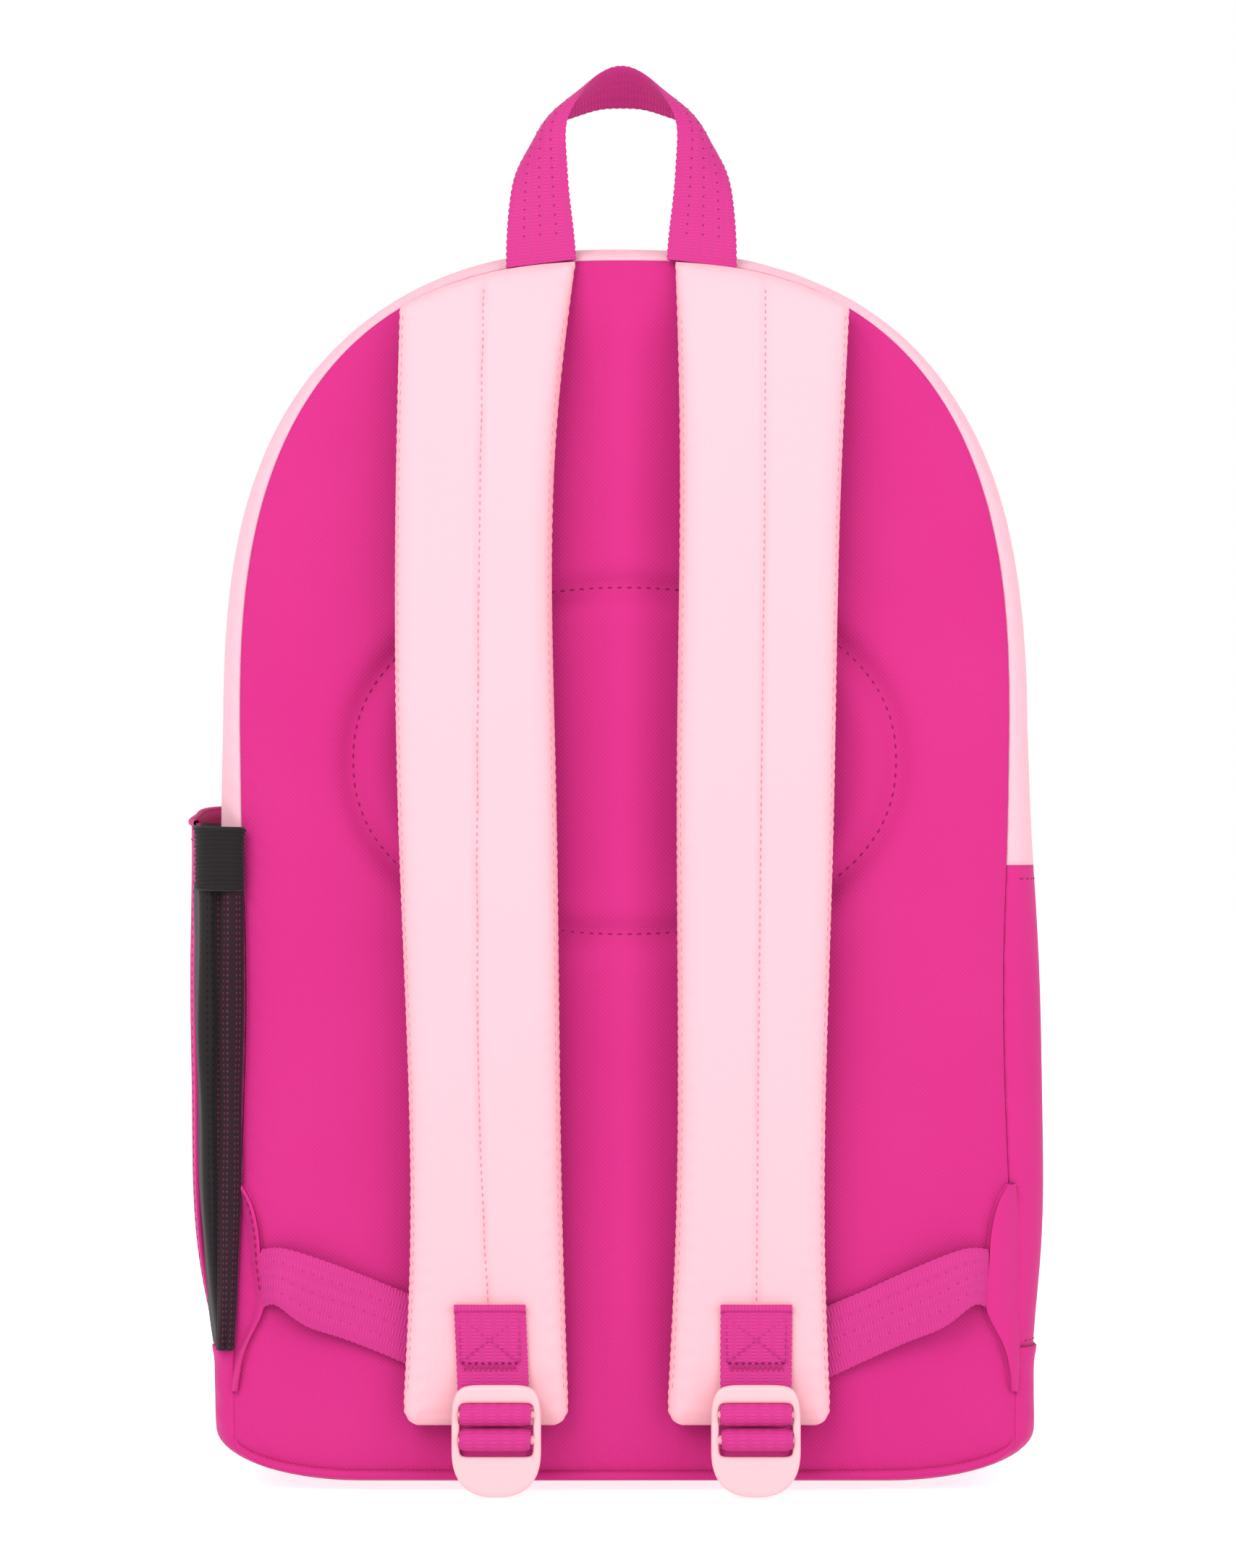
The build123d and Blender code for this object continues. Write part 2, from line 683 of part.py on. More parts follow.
# ---------------------------------------------------------------- grab handle
leg_width = 24
leg_depth = 3
crest_y = -62
crest_tilt = 33              # slope of the webbing at the top of the loop, degrees from level
crest_length = 44
with BuildPart() as grab_handle:
    with BuildSketch(upright(handle_y + leg_depth / 2)):
        with BuildLine():
            Line((-handle_half, handle_foot), (handle_half, handle_foot))
            FilletPolyline((-handle_half, handle_foot), (-handle_half + 2, handle_top - 4),
                           (handle_half - 2, handle_top - 4), (handle_half, handle_foot), radius=28)
        make_face()
        with BuildLine():
            inner_leg = handle_half - leg_width
            Line((-inner_leg, handle_foot), (inner_leg, handle_foot))
            FilletPolyline((-inner_leg, handle_foot), (-inner_leg - 3, handle_top - 20),
                           (inner_leg + 3, handle_top - 20), (inner_leg, handle_foot), radius=4)
        make_face(mode=Mode.SUBTRACT)
    extrude(amount=leg_depth)
    tilt = radians(crest_tilt)
    crest = Plane(origin=(0, crest_y, handle_top - 8.6), x_dir=(1, 0, 0),
                  z_dir=(0, sin(tilt), cos(tilt)))
    with BuildSketch(crest):
        RectangleRounded(crest_length, webbing, 6)
    extrude(amount=leg_depth / 2, both=True)
finish(grab_handle, "grab_handle")
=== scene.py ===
from math import cos, pi, radians, sin

import bmesh
import bpy
import numpy as np
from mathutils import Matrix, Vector


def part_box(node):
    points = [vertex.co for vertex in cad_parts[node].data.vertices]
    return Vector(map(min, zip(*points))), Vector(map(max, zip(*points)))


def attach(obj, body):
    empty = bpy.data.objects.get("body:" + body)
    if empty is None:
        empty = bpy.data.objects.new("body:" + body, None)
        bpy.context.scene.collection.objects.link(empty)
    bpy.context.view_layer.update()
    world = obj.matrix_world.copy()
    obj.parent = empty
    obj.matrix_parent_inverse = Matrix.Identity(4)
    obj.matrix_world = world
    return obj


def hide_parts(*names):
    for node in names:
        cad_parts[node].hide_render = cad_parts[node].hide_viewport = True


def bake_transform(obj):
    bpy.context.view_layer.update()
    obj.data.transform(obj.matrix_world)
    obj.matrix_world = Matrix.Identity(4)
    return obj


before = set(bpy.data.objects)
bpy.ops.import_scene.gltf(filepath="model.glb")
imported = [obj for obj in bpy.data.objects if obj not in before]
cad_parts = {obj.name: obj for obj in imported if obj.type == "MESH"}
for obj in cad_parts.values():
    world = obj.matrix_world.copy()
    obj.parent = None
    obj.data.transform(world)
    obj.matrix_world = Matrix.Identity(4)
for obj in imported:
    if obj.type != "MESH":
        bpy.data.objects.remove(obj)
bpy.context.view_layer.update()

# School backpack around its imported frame. Shapes are worked out in millimetres in the frame's
# axes: +Z up, the wearer's side faces -Y. They become metres when a mesh is made.
MM = 0.001

# ---------------------------------------------------------------- sizes that follow the frame
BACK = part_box("back_panel_cover")[0].y / MM            # outer face of the back panel
REAR_SEAM = BACK + 1.1                                 # where gusset and back panel meet
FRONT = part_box("front_panel_lower")[1].y / MM
SEAM_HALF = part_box("back_panel_cover")[1].x / MM       # the back panel's seam
SEAM_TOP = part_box("back_panel_cover")[1].z / MM
GUSSET_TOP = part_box("gusset_rear")[1].z / MM
GUSSET_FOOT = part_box("gusset_rear")[0].z / MM
BASE_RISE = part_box("base_panel")[1].z / MM
ZIP_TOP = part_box("main_zip_tape_rear")[1].z / MM
TRACK_R = 143.6                                        # outer face of the zip's tape
TRACK_Z = ZIP_TOP - TRACK_R
ZIP_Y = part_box("main_zip_teeth_rear")[1].y / MM + 1    # where the two rows of teeth meet
SPRING = 269                                           # the crown springs from the sides here
SEAM_POWER = 2.6
GUSSET_POWER = 2.5


# ---------------------------------------------------------------- curves and grids
def spline(keys, values, at):
    """Natural cubic spline through the values at the keys, read at the places given."""
    keys = np.asarray(keys, float)
    values = np.asarray(values, float).reshape(len(keys), -1)
    gap = np.diff(keys)
    system = np.eye(len(keys))
    pull = np.zeros_like(values)
    for i in range(1, len(keys) - 1):
        system[i, i - 1:i + 2] = gap[i - 1], 2 * (gap[i - 1] + gap[i]), gap[i]
        slope = np.diff(values[i - 1:i + 2], axis=0) / gap[i - 1:i + 1, None]
        pull[i] = 6 * (slope[1] - slope[0])
    bend = np.linalg.solve(system, pull)
    at = np.asarray(at, float)
    i = np.clip(np.searchsorted(keys, at) - 1, 0, len(keys) - 2)
    near = ((keys[i + 1] - at) / gap[i])[:, None]
    far = 1 - near
    cubic = (near ** 3 - near) * bend[i] + (far ** 3 - far) * bend[i + 1]
    return near * values[i] + far * values[i + 1] + cubic * (gap[i] ** 2)[:, None] / 6


def lengths(points):
    """Distance along a line of points, from its first point."""
    steps = np.linalg.norm(np.diff(points, axis=0), axis=1)
    return np.concatenate([[0], np.cumsum(steps)])


def through(points, count):
    """Evenly spaced points on a smooth curve through given ones."""
    points = np.asarray(points, float)
    run = lengths(points)
    fine = spline(run, points, np.linspace(0, run[-1], 8 * count))
    walked = lengths(fine)
    even = np.linspace(0, walked[-1], count)
    return np.stack([np.interp(even, walked, fine[:, k]) for k in range(points.shape[1])], 1)


def ease(value):
    """Smooth step from 0 to 1."""
    value = np.clip(value, 0, 1)
    return value * value * (3 - 2 * value)


def hump(value, width):
    return np.exp(-(value / width) ** 2)


def unit(vectors):
    size = np.linalg.norm(vectors, axis=-1, keepdims=True)
    return vectors / np.maximum(size, 1e-9)


def xyz(x, y, z):
    """Points from three coordinates, any of which may be a single value."""
    return np.stack(np.broadcast_arrays(x, y, z), -1).astype(float)


def facing(count, y, z=0.0):
    """The same direction for a number of points."""
    return np.tile([0.0, y, z], (count, 1))


def ring(turn, power):
    """Cosine and sine of a superellipse: power 2 is a circle, more is squarer."""
    c, s = np.cos(turn), np.sin(turn)
    return np.sign(c) * np.abs(c) ** (2 / power), np.sign(s) * np.abs(s) ** (2 / power)


def swell(points, wave, seed):
    """Smooth noise of about -1 to 1 over points, with features about one wave across."""
    dice = np.random.default_rng(seed)
    total = np.zeros(points.shape[:-1])
    for _ in range(7):
        heading = unit(dice.normal(size=3)) * 2 * pi / (wave * dice.uniform(0.7, 1.6))
        total += np.sin(points @ heading + dice.uniform(0, 2 * pi))
    return total / 3.2


def grid_normals(rows, wrap=False):
    """Normals of a grid of points: down its columns crossed with along its rows."""
    if wrap:
        padded = np.concatenate([rows[:, -1:], rows, rows[:, :1]], 1)
        across = padded[:, 2:] - padded[:, :-2]
    else:
        across = np.gradient(rows, axis=1)
    return unit(np.cross(np.gradient(rows, axis=0), across))


def cloth_map(rows, wrap):
    """Places on the flat cloth for each point of a grid, in metres."""
    middle = rows[len(rows) // 2]
    if wrap:
        middle = np.concatenate([middle, middle[:1]])
    u = lengths(middle)
    v = lengths(rows[:, rows.shape[1] // 2])
    return np.stack(np.broadcast_arrays(u[None, :], v[:, None]), -1) * MM


def make(name, verts, faces, coats, corner_map=None, sharp=50):
    """Mesh object from millimetre points. coats are its materials."""
    mesh = bpy.data.meshes.new(name)
    mesh.from_pydata((np.asarray(verts) * MM).tolist(), [], np.asarray(faces).tolist())
    if corner_map is not None:
        layer = mesh.uv_layers.new(name="cloth")
        layer.uv.foreach_set("vector", np.asarray(corner_map, np.float32).ravel())
    mesh.shade_smooth()
    mesh.set_sharp_from_angle(angle=radians(sharp))
    obj = bpy.data.objects.new(name, mesh)
    bpy.context.scene.collection.objects.link(obj)
    for coat in coats if isinstance(coats, (list, tuple)) else [coats]:
        mesh.materials.append(coat)
    return obj


def surface(name, rows, coats, wrap=False, flip=False, sharp=50, closed=False):
    """Mesh of a grid of points. wrap joins its last column to the first, closed its last row."""
    rows = np.asarray(rows, float)
    m, n = rows.shape[:2]
    i, j = np.meshgrid(np.arange(m if closed else m - 1), np.arange(n if wrap else n - 1),
                       indexing="ij")
    corners = [(i, j), (i + 1, j), (i + 1, j + 1), (i, j + 1)]
    if flip:
        corners.reverse()
    quads = np.stack([((a % m) * n + b % n).ravel() for a, b in corners], 1)
    flat = cloth_map(np.concatenate([rows, rows[:1]]) if closed else rows, wrap)
    corner_map = np.stack([flat[a.ravel(), b.ravel()] for a, b in corners], 1)
    return make(name, rows.reshape(-1, 3), quads, coats, corner_map.reshape(-1, 2), sharp)


def weld(obj, gap=0.02):
    """Joins points that lie together, such as the middle of a disc."""
    shape = bmesh.new()
    shape.from_mesh(obj.data)
    bmesh.ops.remove_doubles(shape, verts=shape.verts, dist=gap * MM)
    shape.to_mesh(obj.data)
    shape.free()
    return obj


def thicken(obj, depth, inner=False):
    """Gives a sheet its thickness, inwards. inner puts the second material on its inside."""
    layer = obj.modifiers.new("thickness", "SOLIDIFY")
    layer.thickness = depth * MM
    layer.offset = -1
    if inner:
        layer.material_offset = 1
    return obj


def settle(obj, body, slot, *nodes):
    """Puts a finished piece on its body when that is a name, else only bakes its transform, and
    hides the CAD nodes that it stands for. slot is not used.
    """
    if isinstance(body, str):
        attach(obj, body)
    else:
        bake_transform(obj)
    if nodes:
        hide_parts(*nodes)
    return obj


def sheet(name, rows, coats, depth, body, slot, *nodes, joined=False, **how):
    """Cloth of some depth on a grid of points. A second coat goes on its inside."""
    obj = surface(name, rows, coats, **how)
    thicken(weld(obj) if joined else obj, depth, inner=isinstance(coats, list))
    return settle(obj, body, slot, *nodes)


def capsule(length, width, height, arch=0.0, sides=6, rings=6):
    """Small rounded bar along local x, its ends sunk by arch. Returns points and quads."""
    places = np.linspace(-1, 1, rings)
    swollen = np.sqrt(np.maximum(1 - np.abs(places) ** 3, 0.02))
    turn = np.arange(sides) * 2 * pi / sides
    points = [[place * length / 2, size * width / 2 * cos(t),
               size * height / 2 * sin(t) - arch * place ** 2]
              for place, size in zip(places, swollen) for t in turn]
    quads = [[r * sides + s, r * sides + (s + 1) % sides, (r + 1) * sides + (s + 1) % sides,
              (r + 1) * sides + s] for r in range(rings - 1) for s in range(sides)]
    last = (rings - 1) * sides
    quads += [[3, 2, 1, 0], [5, 4, 3, 0], [last, last + 1, last + 2, last + 3],
              [last, last + 3, last + 4, last + 5]]
    return np.array(points), np.array(quads)


def strew(name, coat, shape, origin, along, up):
    """One mesh of many copies of a small shape, each at an origin with its own directions."""
    points, quads = shape
    along = unit(along)
    across = unit(np.cross(up, along))
    up = np.cross(along, across)
    placed = (origin[:, None] + points[None, :, 0:1] * along[:, None]
              + points[None, :, 1:2] * across[:, None] + points[None, :, 2:3] * up[:, None])
    shifted = quads[None] + (np.arange(len(origin)) * len(points))[:, None, None]
    return make(name, placed.reshape(-1, 3), shifted.reshape(-1, 4), coat, sharp=80)


def seam(lines, pitch=3.2, thread=0.5, fill=0.74, lift=0.05):
    """Stitches along lines, each a pair of points and normals. Returns what strew needs."""
    origin, along, up = [], [], []
    for points, normals in lines:
        walked = lengths(points)
        count = max(2, int(walked[-1] / pitch))
        middle = (np.arange(count) + 0.5) * walked[-1] / count
        ahead = np.minimum(middle + 0.3 * pitch, walked[-1])
        behind = np.maximum(middle - 0.3 * pitch, 0)
        read = [np.stack([np.interp(at, walked, line[:, k]) for k in range(3)], 1)
                for at, line in ((middle, points), (ahead, points), (behind, points),
                                 (middle, normals))]
        origin.append(read[0] + unit(read[3]) * lift)
        along.append(read[1] - read[2])
        up.append(read[3])
    shape = capsule(fill * pitch, thread, thread * 0.8, arch=thread * 0.55)
    return shape, np.concatenate(origin), np.concatenate(along), np.concatenate(up)


def stitch(name, coat, lines, body, slot, **how):
    """Stitches along lines, settled on their body."""
    return settle(strew(name, coat, *seam(lines, **how)), body, slot)


def tube(name, line, radius, coat, up=(0, -1, 0), wrap=False, sides=10):
    """Round tube along a line of points."""
    line = np.asarray(line, float)
    if wrap:
        heading = unit(np.roll(line, -1, 0) - np.roll(line, 1, 0))
    else:
        heading = unit(np.gradient(line, axis=0))
    side = unit(np.cross(heading, np.asarray(up, float)))
    out = np.cross(side, heading)
    radius = np.broadcast_to(radius, len(line))[:, None]
    turns = np.arange(sides) * 2 * pi / sides
    rows = np.stack([line + radius * (side * cos(t) + out * sin(t)) for t in turns])
    return surface(name, rows, coat, wrap=wrap, closed=True, flip=True)


def ribbon(name, near, far, depth, coat, crown=0.0, scallop=0.0, samples=15, turned=False):
    """Webbing between its two edge lines, with rounded, slightly scalloped edges."""
    near, far = np.asarray(near, float), np.asarray(far, float)
    middle = (near + far) / 2
    width = far - near
    heading = np.gradient(middle, axis=0)
    out = unit(np.cross(width, heading))
    walked = lengths(middle)
    rows = []
    shares = np.concatenate([np.linspace(0, 1, samples), np.linspace(1, 0, samples)[1:-1]])
    for k, share in enumerate(shares):
        front = k < samples
        edge = np.sqrt(np.clip(1 - np.abs(2 * share - 1) ** 9, 0, 1))
        rise = (0.5 if front else -0.5) * depth * (0.25 + 0.75 * edge)
        arch = np.broadcast_to(crown, len(near))[:, None] * 4 * share * (1 - share)
        wave = 0
        if share in (0, 1):
            wave = scallop * np.sin(walked * 2 * pi / 2.2)[:, None] * (1 if share else -1)
        rows.append(near + width * share + out * (rise + arch) + unit(width) * wave)
    return surface(name, np.stack(rows), coat, closed=True, flip=turned)


# ---------------------------------------------------------------- materials
def linear(red, green, blue):
    """Linear colour from display values of 0 to 255."""
    return [((c / 255 + 0.055) / 1.055) ** 2.4 for c in (red, green, blue)] + [1]


def feed(tree, node, inputs):
    """Sets a node's inputs, each to a value or linked to another node's output."""
    for key, value in inputs.items():
        if isinstance(value, bpy.types.NodeSocket):
            tree.links.new(value, node.inputs[key])
        else:
            node.inputs[key].default_value = value


def add(tree, kind, inputs, **settings):
    """New shader node with its settings and inputs."""
    made = tree.nodes.new("ShaderNode" + kind)
    for key, value in settings.items():
        setattr(made, key, value)
    feed(tree, made, inputs)
    return made


def blank(name):
    """New material, with its node tree and the node of its surface."""
    coat = bpy.data.materials.new(name)
    coat.use_nodes = True
    return coat, coat.node_tree, coat.node_tree.nodes["Principled BSDF"]


def bands(tree, place, period, turn=0.0, distortion=0.0):
    """Waves of one period in metres, at an angle in the cloth's plane, or upright in space."""
    upright = place.name == "Object"
    rotation = (0, radians(turn), 0) if upright else (0, 0, radians(turn))
    turned = add(tree, "Mapping", {"Vector": place, "Rotation": rotation})
    wave = add(tree, "TexWave", {"Vector": turned.outputs[0], "Scale": 0.31416 / period,
                                 "Distortion": distortion, "Detail": 1.0, "Detail Scale": 2.0})
    return wave.outputs["Fac"]


def combine(tree, how, first, second):
    return add(tree, "Math", {0: first, 1: second}, operation=how).outputs[0]


def fabric(name, colour, weave, rough=0.8, sheen=0.14, depth=0.00012, shade=0.16, blotch=0.1,
           place="UV", strength=0.6, warp=0.6):
    """Cloth whose threads are waves, each (period in metres, angle), with fibre and wear noise."""
    coat, tree, skin = blank(name)
    where = add(tree, "TexCoord", {}).outputs[place]
    threads = None
    for period, turn in weave:
        wave = bands(tree, where, period, turn, warp)
        threads = wave if threads is None else combine(tree, "MULTIPLY", threads, wave)
    fibre = add(tree, "TexNoise", {"Vector": where, "Scale": 2600.0, "Detail": 2.0}).outputs["Fac"]
    height = combine(tree, "ADD", threads, combine(tree, "MULTIPLY", fibre, 0.6))
    stain = add(tree, "TexNoise", {"Vector": where, "Scale": 14.0, "Detail": 4.0}).outputs["Fac"]
    dark = combine(tree, "MULTIPLY", combine(tree, "SUBTRACT", 1.0, threads), shade)
    dark = combine(tree, "ADD", dark, combine(tree, "MULTIPLY", stain, blotch))
    deep = [c * 0.45 for c in colour[:3]] + [1]
    tint = add(tree, "MixRGB", {"Fac": dark, "Color1": colour, "Color2": deep})
    lift = add(tree, "Bump", {"Height": height, "Strength": strength, "Distance": depth})
    worn = add(tree, "MapRange", {"Value": stain, "From Min": 0.3, "From Max": 0.7,
                                  "To Min": rough - 0.06, "To Max": rough + 0.08})
    glow = [min(1, c * 0.5 + 0.45) for c in colour[:3]] + [1]
    feed(tree, skin, {"Base Color": tint.outputs[0], "Normal": lift.outputs[0],
                      "Roughness": worn.outputs[0], "Sheen Weight": sheen,
                      "Sheen Roughness": 0.45, "Sheen Tint": glow, "Specular IOR Level": 0.2})
    return coat


MAGENTA = linear(189, 34, 117)
MAGENTA_DEEP = linear(138, 14, 74)
LIGHT = linear(219, 166, 179)
STRAP = linear(228, 167, 177)
WEB = linear(195, 44, 128)

twill = fabric("back_twill", MAGENTA, [(0.0011, 45), (0.0011, -45)], place="Object", depth=0.00016,
               shade=0.2)
shell_cloth = fabric("magenta_cloth", MAGENTA, [(0.0009, 0), (0.0009, 90)], depth=0.00008)
light_cloth = fabric("light_cloth", LIGHT, [(0.0007, 0), (0.0007, 90)], depth=0.00006, shade=0.05,
                     blotch=0.05)
lining_cloth = fabric("lining", linear(176, 172, 178), [(0.0006, 0), (0.0006, 90)], depth=0.00005)
thread_magenta = fabric("thread_magenta", MAGENTA_DEEP, [(0.0004, 45)], place="Object")
thread_light = fabric("thread_light", linear(206, 128, 152), [(0.0004, 45)], place="Object",
                      shade=0.08)


# ---------------------------------------------------------------- the bag's outlines
SIDE_STEPS = (16, 70, 24)          # from the lower corner to the base seam, the gusset, the crown
CROWN_STEPS = 210
CORNER_STEPS = 14
FLOOR_STEPS = 70


def crown_turns():
    """Angles of the crown's stations, spaced evenly along the seam."""
    fine = np.linspace(0, pi, 4001)
    x, z = ring(fine, SEAM_POWER)
    walked = lengths(np.stack([SEAM_HALF * x, (SEAM_TOP - SPRING) * z], 1))
    even = np.linspace(0, walked[-1], CROWN_STEPS + 1)
    return np.interp(even, walked, fine)


TURNS = crown_turns()


def outline(top, foot, reach, corner, power, right, left):
    """Closed outline of the bag as (x, z), from the right lower corner up, over and round.

    The lower corners are reach wide and corner high. right and left give the half width at
    heights on the straight sides.
    """
    low = foot + corner
    marks = (low, BASE_RISE, GUSSET_FOOT, SPRING)
    heights = np.concatenate([np.linspace(a, b, count, endpoint=False)
                              for a, b, count in zip(marks, marks[1:], SIDE_STEPS)])

    def half(side, at):
        table = sorted(side)
        return spline([z for z, _ in table], [w for _, w in table], at)[:, 0]

    rise = np.stack([half(right, heights), heights], 1)
    fall = np.stack([-half(left, heights), heights], 1)[::-1]
    spring = np.where(TURNS < pi / 2, half(right, [SPRING])[0], half(left, [SPRING])[0])
    x, z = ring(TURNS, power)
    arch = np.stack([spring * x, SPRING + (top - SPRING) * z], 1)
    bend = (np.arange(CORNER_STEPS) + 1) / (CORNER_STEPS + 1) * pi / 2
    foot_left, foot_right = -half(left, [low])[0], half(right, [low])[0]
    turn_left = np.stack([foot_left + reach * (1 - np.cos(bend)), low - corner * np.sin(bend)], 1)
    turn_right = np.stack([foot_right - reach * (1 - np.cos(bend)), low - corner * np.sin(bend)],
                          1)[::-1]
    along = np.linspace(foot_left + reach, foot_right - reach, FLOOR_STEPS)
    floor = np.stack([along, np.full(FLOOR_STEPS, float(foot))], 1)
    return np.concatenate([rise, arch, fall, turn_left, floor, turn_right])


UP = sum(SIDE_STEPS)
STATIONS = 2 * UP + CROWN_STEPS + 1 + 2 * CORNER_STEPS + FLOOR_STEPS
BASE_RIGHT = SIDE_STEPS[0]                       # station of the base seam, right side
GUSSET_RIGHT = SIDE_STEPS[0] + SIDE_STEPS[1]     # station where the light gusset starts
GUSSET_LEFT = 2 * UP + CROWN_STEPS - GUSSET_RIGHT
BASE_LEFT = 2 * UP + CROWN_STEPS - BASE_RIGHT

seam_side = [(269, 134.5), (219, 133.5), (193, 132.6), (91, 135), (34, 136.6), (19, 136.4)]
seam_line = outline(SEAM_TOP, 6, 46, 13, SEAM_POWER, seam_side, seam_side)
right_side = [(269, 141.6), (238, 142.9), (205, 144.9), (167, 146.6), (125, 147.4), (79, 146.4),
              (50, 144.2), (22, 144)]
left_side = [(269, 141.4), (219, 142.3), (135, 143.6), (50, 144.2), (22, 143.8)]
full_line = outline(GUSSET_TOP + 1.2, 1.4, 50, 19, GUSSET_POWER, right_side, left_side)
front_side = [(269, 136.5), (219, 137), (125, 138.5), (50, 139.5), (19, 138.5)]
front_line = outline(SEAM_TOP, 4, 40, 14, SEAM_POWER, front_side, front_side)


def zip_outline(proud):
    """Outline that follows the main zip's track and its closed run down the sides."""
    line = full_line.copy()
    turn = np.arctan2(line[:, 0], line[:, 1] - TRACK_Z)
    on_arc = np.abs(turn) < radians(66)
    line[on_arc, 0] = (TRACK_R + proud) * np.sin(turn[on_arc])
    line[on_arc, 1] = TRACK_Z + (TRACK_R + proud) * np.cos(turn[on_arc])
    beside = ~on_arc & (line[:, 1] > GUSSET_FOOT - 1)
    run = spline([219, 285, 322, 346.4], [141.6, 140.6, 137.6, 131.2], line[beside, 1])[:, 0]
    line[beside, 0] = np.sign(line[beside, 0]) * (run + proud)
    return line


zip_line = zip_outline(0)
cloth_by_zip = zip_outline(1.4)
ROLL = 13                       # how far from a seam the cloth takes to round over
FOOT_ROLL = 22                  # how much further it takes under the bag


def shell(depths):
    """Points of the bag's skin at each depth, round every station, as rows of x, y, z."""
    rows = []
    rolls = ROLL + FOOT_ROLL * ease((26 - full_line[:, 1]) / 24)
    for y in depths:
        rear = np.clip((y - REAR_SEAM) / rolls, 0, 1)[:, None]
        fore = np.clip((FRONT - y) / rolls, 0, 1)[:, None]
        line = full_line + (seam_line - full_line) * (1 - np.sqrt(1 - (1 - rear) ** 2))
        line = line + (front_line - full_line) * (1 - np.sqrt(1 - (1 - fore) ** 2))
        sink = ease((y + 44) / 36) * ease((52 - y) / 26)
        line = line + (cloth_by_zip - full_line) * sink
        rows.append(xyz(line[:, 0], y, line[:, 1]))
    rows = np.array(rows)
    out = grid_normals(rows, wrap=True)
    away = np.minimum(rows[..., 1] - BACK, FRONT - rows[..., 1])
    slack = ease(away / 30) * (1 - 0.8 * ease((y_near_zip(rows) - 2) / 10))
    standing = ease(rows[..., 2] / 12)
    bump = swell(rows, 70, 3) * 0.9 * slack * standing
    pucker = np.sin(rows[..., 2] * 0.62 + rows[..., 0] * 0.55 + 2 * swell(rows, 40, 8))
    bump += 0.22 * pucker * hump(away - 4, 5) * standing
    return rows + out * bump[..., None]


def y_near_zip(rows):
    """How close points are to the main zip, from 0 far away up to 14."""
    return np.clip(26 - np.abs(rows[..., 1] - ZIP_Y), 0, 14)


HEART_LOW = 120                 # a disc's columns start on the middle line between these
HEART_HIGH = 300


def heart(line, low=HEART_LOW):
    """Places on the bag's upright middle line that are level with a line's own."""
    return np.stack([np.zeros(len(line)), np.clip(line[:, 1], low, HEART_HIGH)], 1)


def disc(line, shares):
    """Grid of (x, z) from the upright middle line out to an outline."""
    middle = heart(line)
    return middle[None] + (line - middle)[None] * np.asarray(shares)[:, None, None]


def lay(flat, depth):
    """Points of a grid or line of (x, z), each at its own depth or all at one."""
    return xyz(flat[..., 0], depth, flat[..., 1])


EDGE = 1 - (1 - np.linspace(0, 1, 84)) ** 1.12


# ---------------------------------------------------------------- back panel
QUILT_HALF = 95                 # the quilted oval across the middle of the back
QUILT_RISE = 60.5
QUILT_Z = 255.5
QUILT_POWER = 2.2
BACK_SINK = 0.6                 # the cover's edge lies this far in from the frame's outer face
FOAM_INNER = 8.4                # inner face of the foam, and the lining, in from the outer face
LINING_INNER = 10.8


def quilt_gap(flat):
    """Distance from the quilting line, near enough, at points of (x, z)."""
    x = np.abs(flat[..., 0]) / QUILT_HALF
    z = np.abs(flat[..., 1] - QUILT_Z) / QUILT_RISE
    reach = np.maximum((x ** QUILT_POWER + z ** QUILT_POWER) ** (1 / QUILT_POWER), 1e-6)
    slope = np.hypot((x / reach) ** (QUILT_POWER - 1) / QUILT_HALF,
                     (z / reach) ** (QUILT_POWER - 1) / QUILT_RISE)
    return (reach - 1) / np.maximum(slope, 1e-4)


def back_rise(flat, off_seam):
    """How far the padded back stands out from its seam."""
    x, z = flat[..., 0], flat[..., 1]
    spread = lay(flat, 0)
    rise = 3.4 * (1 - np.exp(-off_seam / 7)) + 0.5 * swell(spread, 85, 11) * ease(off_seam / 30)
    rise += 4.4 * hump(x, 11.5) * ease((z - 10) / 60) * ease((428 - z) / 24)
    quilted = hump(quilt_gap(flat), 4.5)
    rise -= 2.6 * quilted
    rise += 0.7 * hump(quilt_gap(flat) - 11, 7) + 0.7 * hump(quilt_gap(flat) + 11, 7)
    rise += 0.15 * np.sin(z * 0.75 + x * 0.9 + 2 * swell(spread, 30, 5)) * hump(off_seam - 5, 5)
    return rise


def off_seam(flat, line):
    """Distance from a disc's own outline, along the column of each of its points."""
    middle = heart(line)
    reach = np.linalg.norm(line - middle, axis=1)
    return reach[None] - np.linalg.norm(flat - middle[None], axis=-1)


flat = disc(seam_line, EDGE)
away = np.maximum(off_seam(flat, seam_line), 0)
face = lay(flat, BACK + BACK_SINK - back_rise(flat, away))
inner_flat = disc(seam_line, EDGE[::-6])
inner_face = lay(inner_flat, BACK + FOAM_INNER)
back_panel = weld(surface("back_panel", np.concatenate([face, inner_face]), twill, wrap=True))
settle(back_panel, "bag", "back_twill", "back_panel_cover", "back_foam")


def on_back(line):
    """Points and normals on the back panel along a line of (x, z)."""
    at = np.asarray(line, float)[None]
    step = 0.5

    def height(moved):
        width = np.interp(moved[0, :, 1], [z for z, _ in sorted(seam_side)],
                          [w for _, w in sorted(seam_side)])
        return back_rise(moved, (width - np.abs(moved[0, :, 0]))[None])[0]

    rise = height(at)
    slope_x = (height(at + [step, 0]) - rise) / step
    slope_z = (height(at + [0, step]) - rise) / step
    normal = unit(xyz(-slope_x, -1, -slope_z))
    return lay(at[0], BACK + BACK_SINK - rise), normal


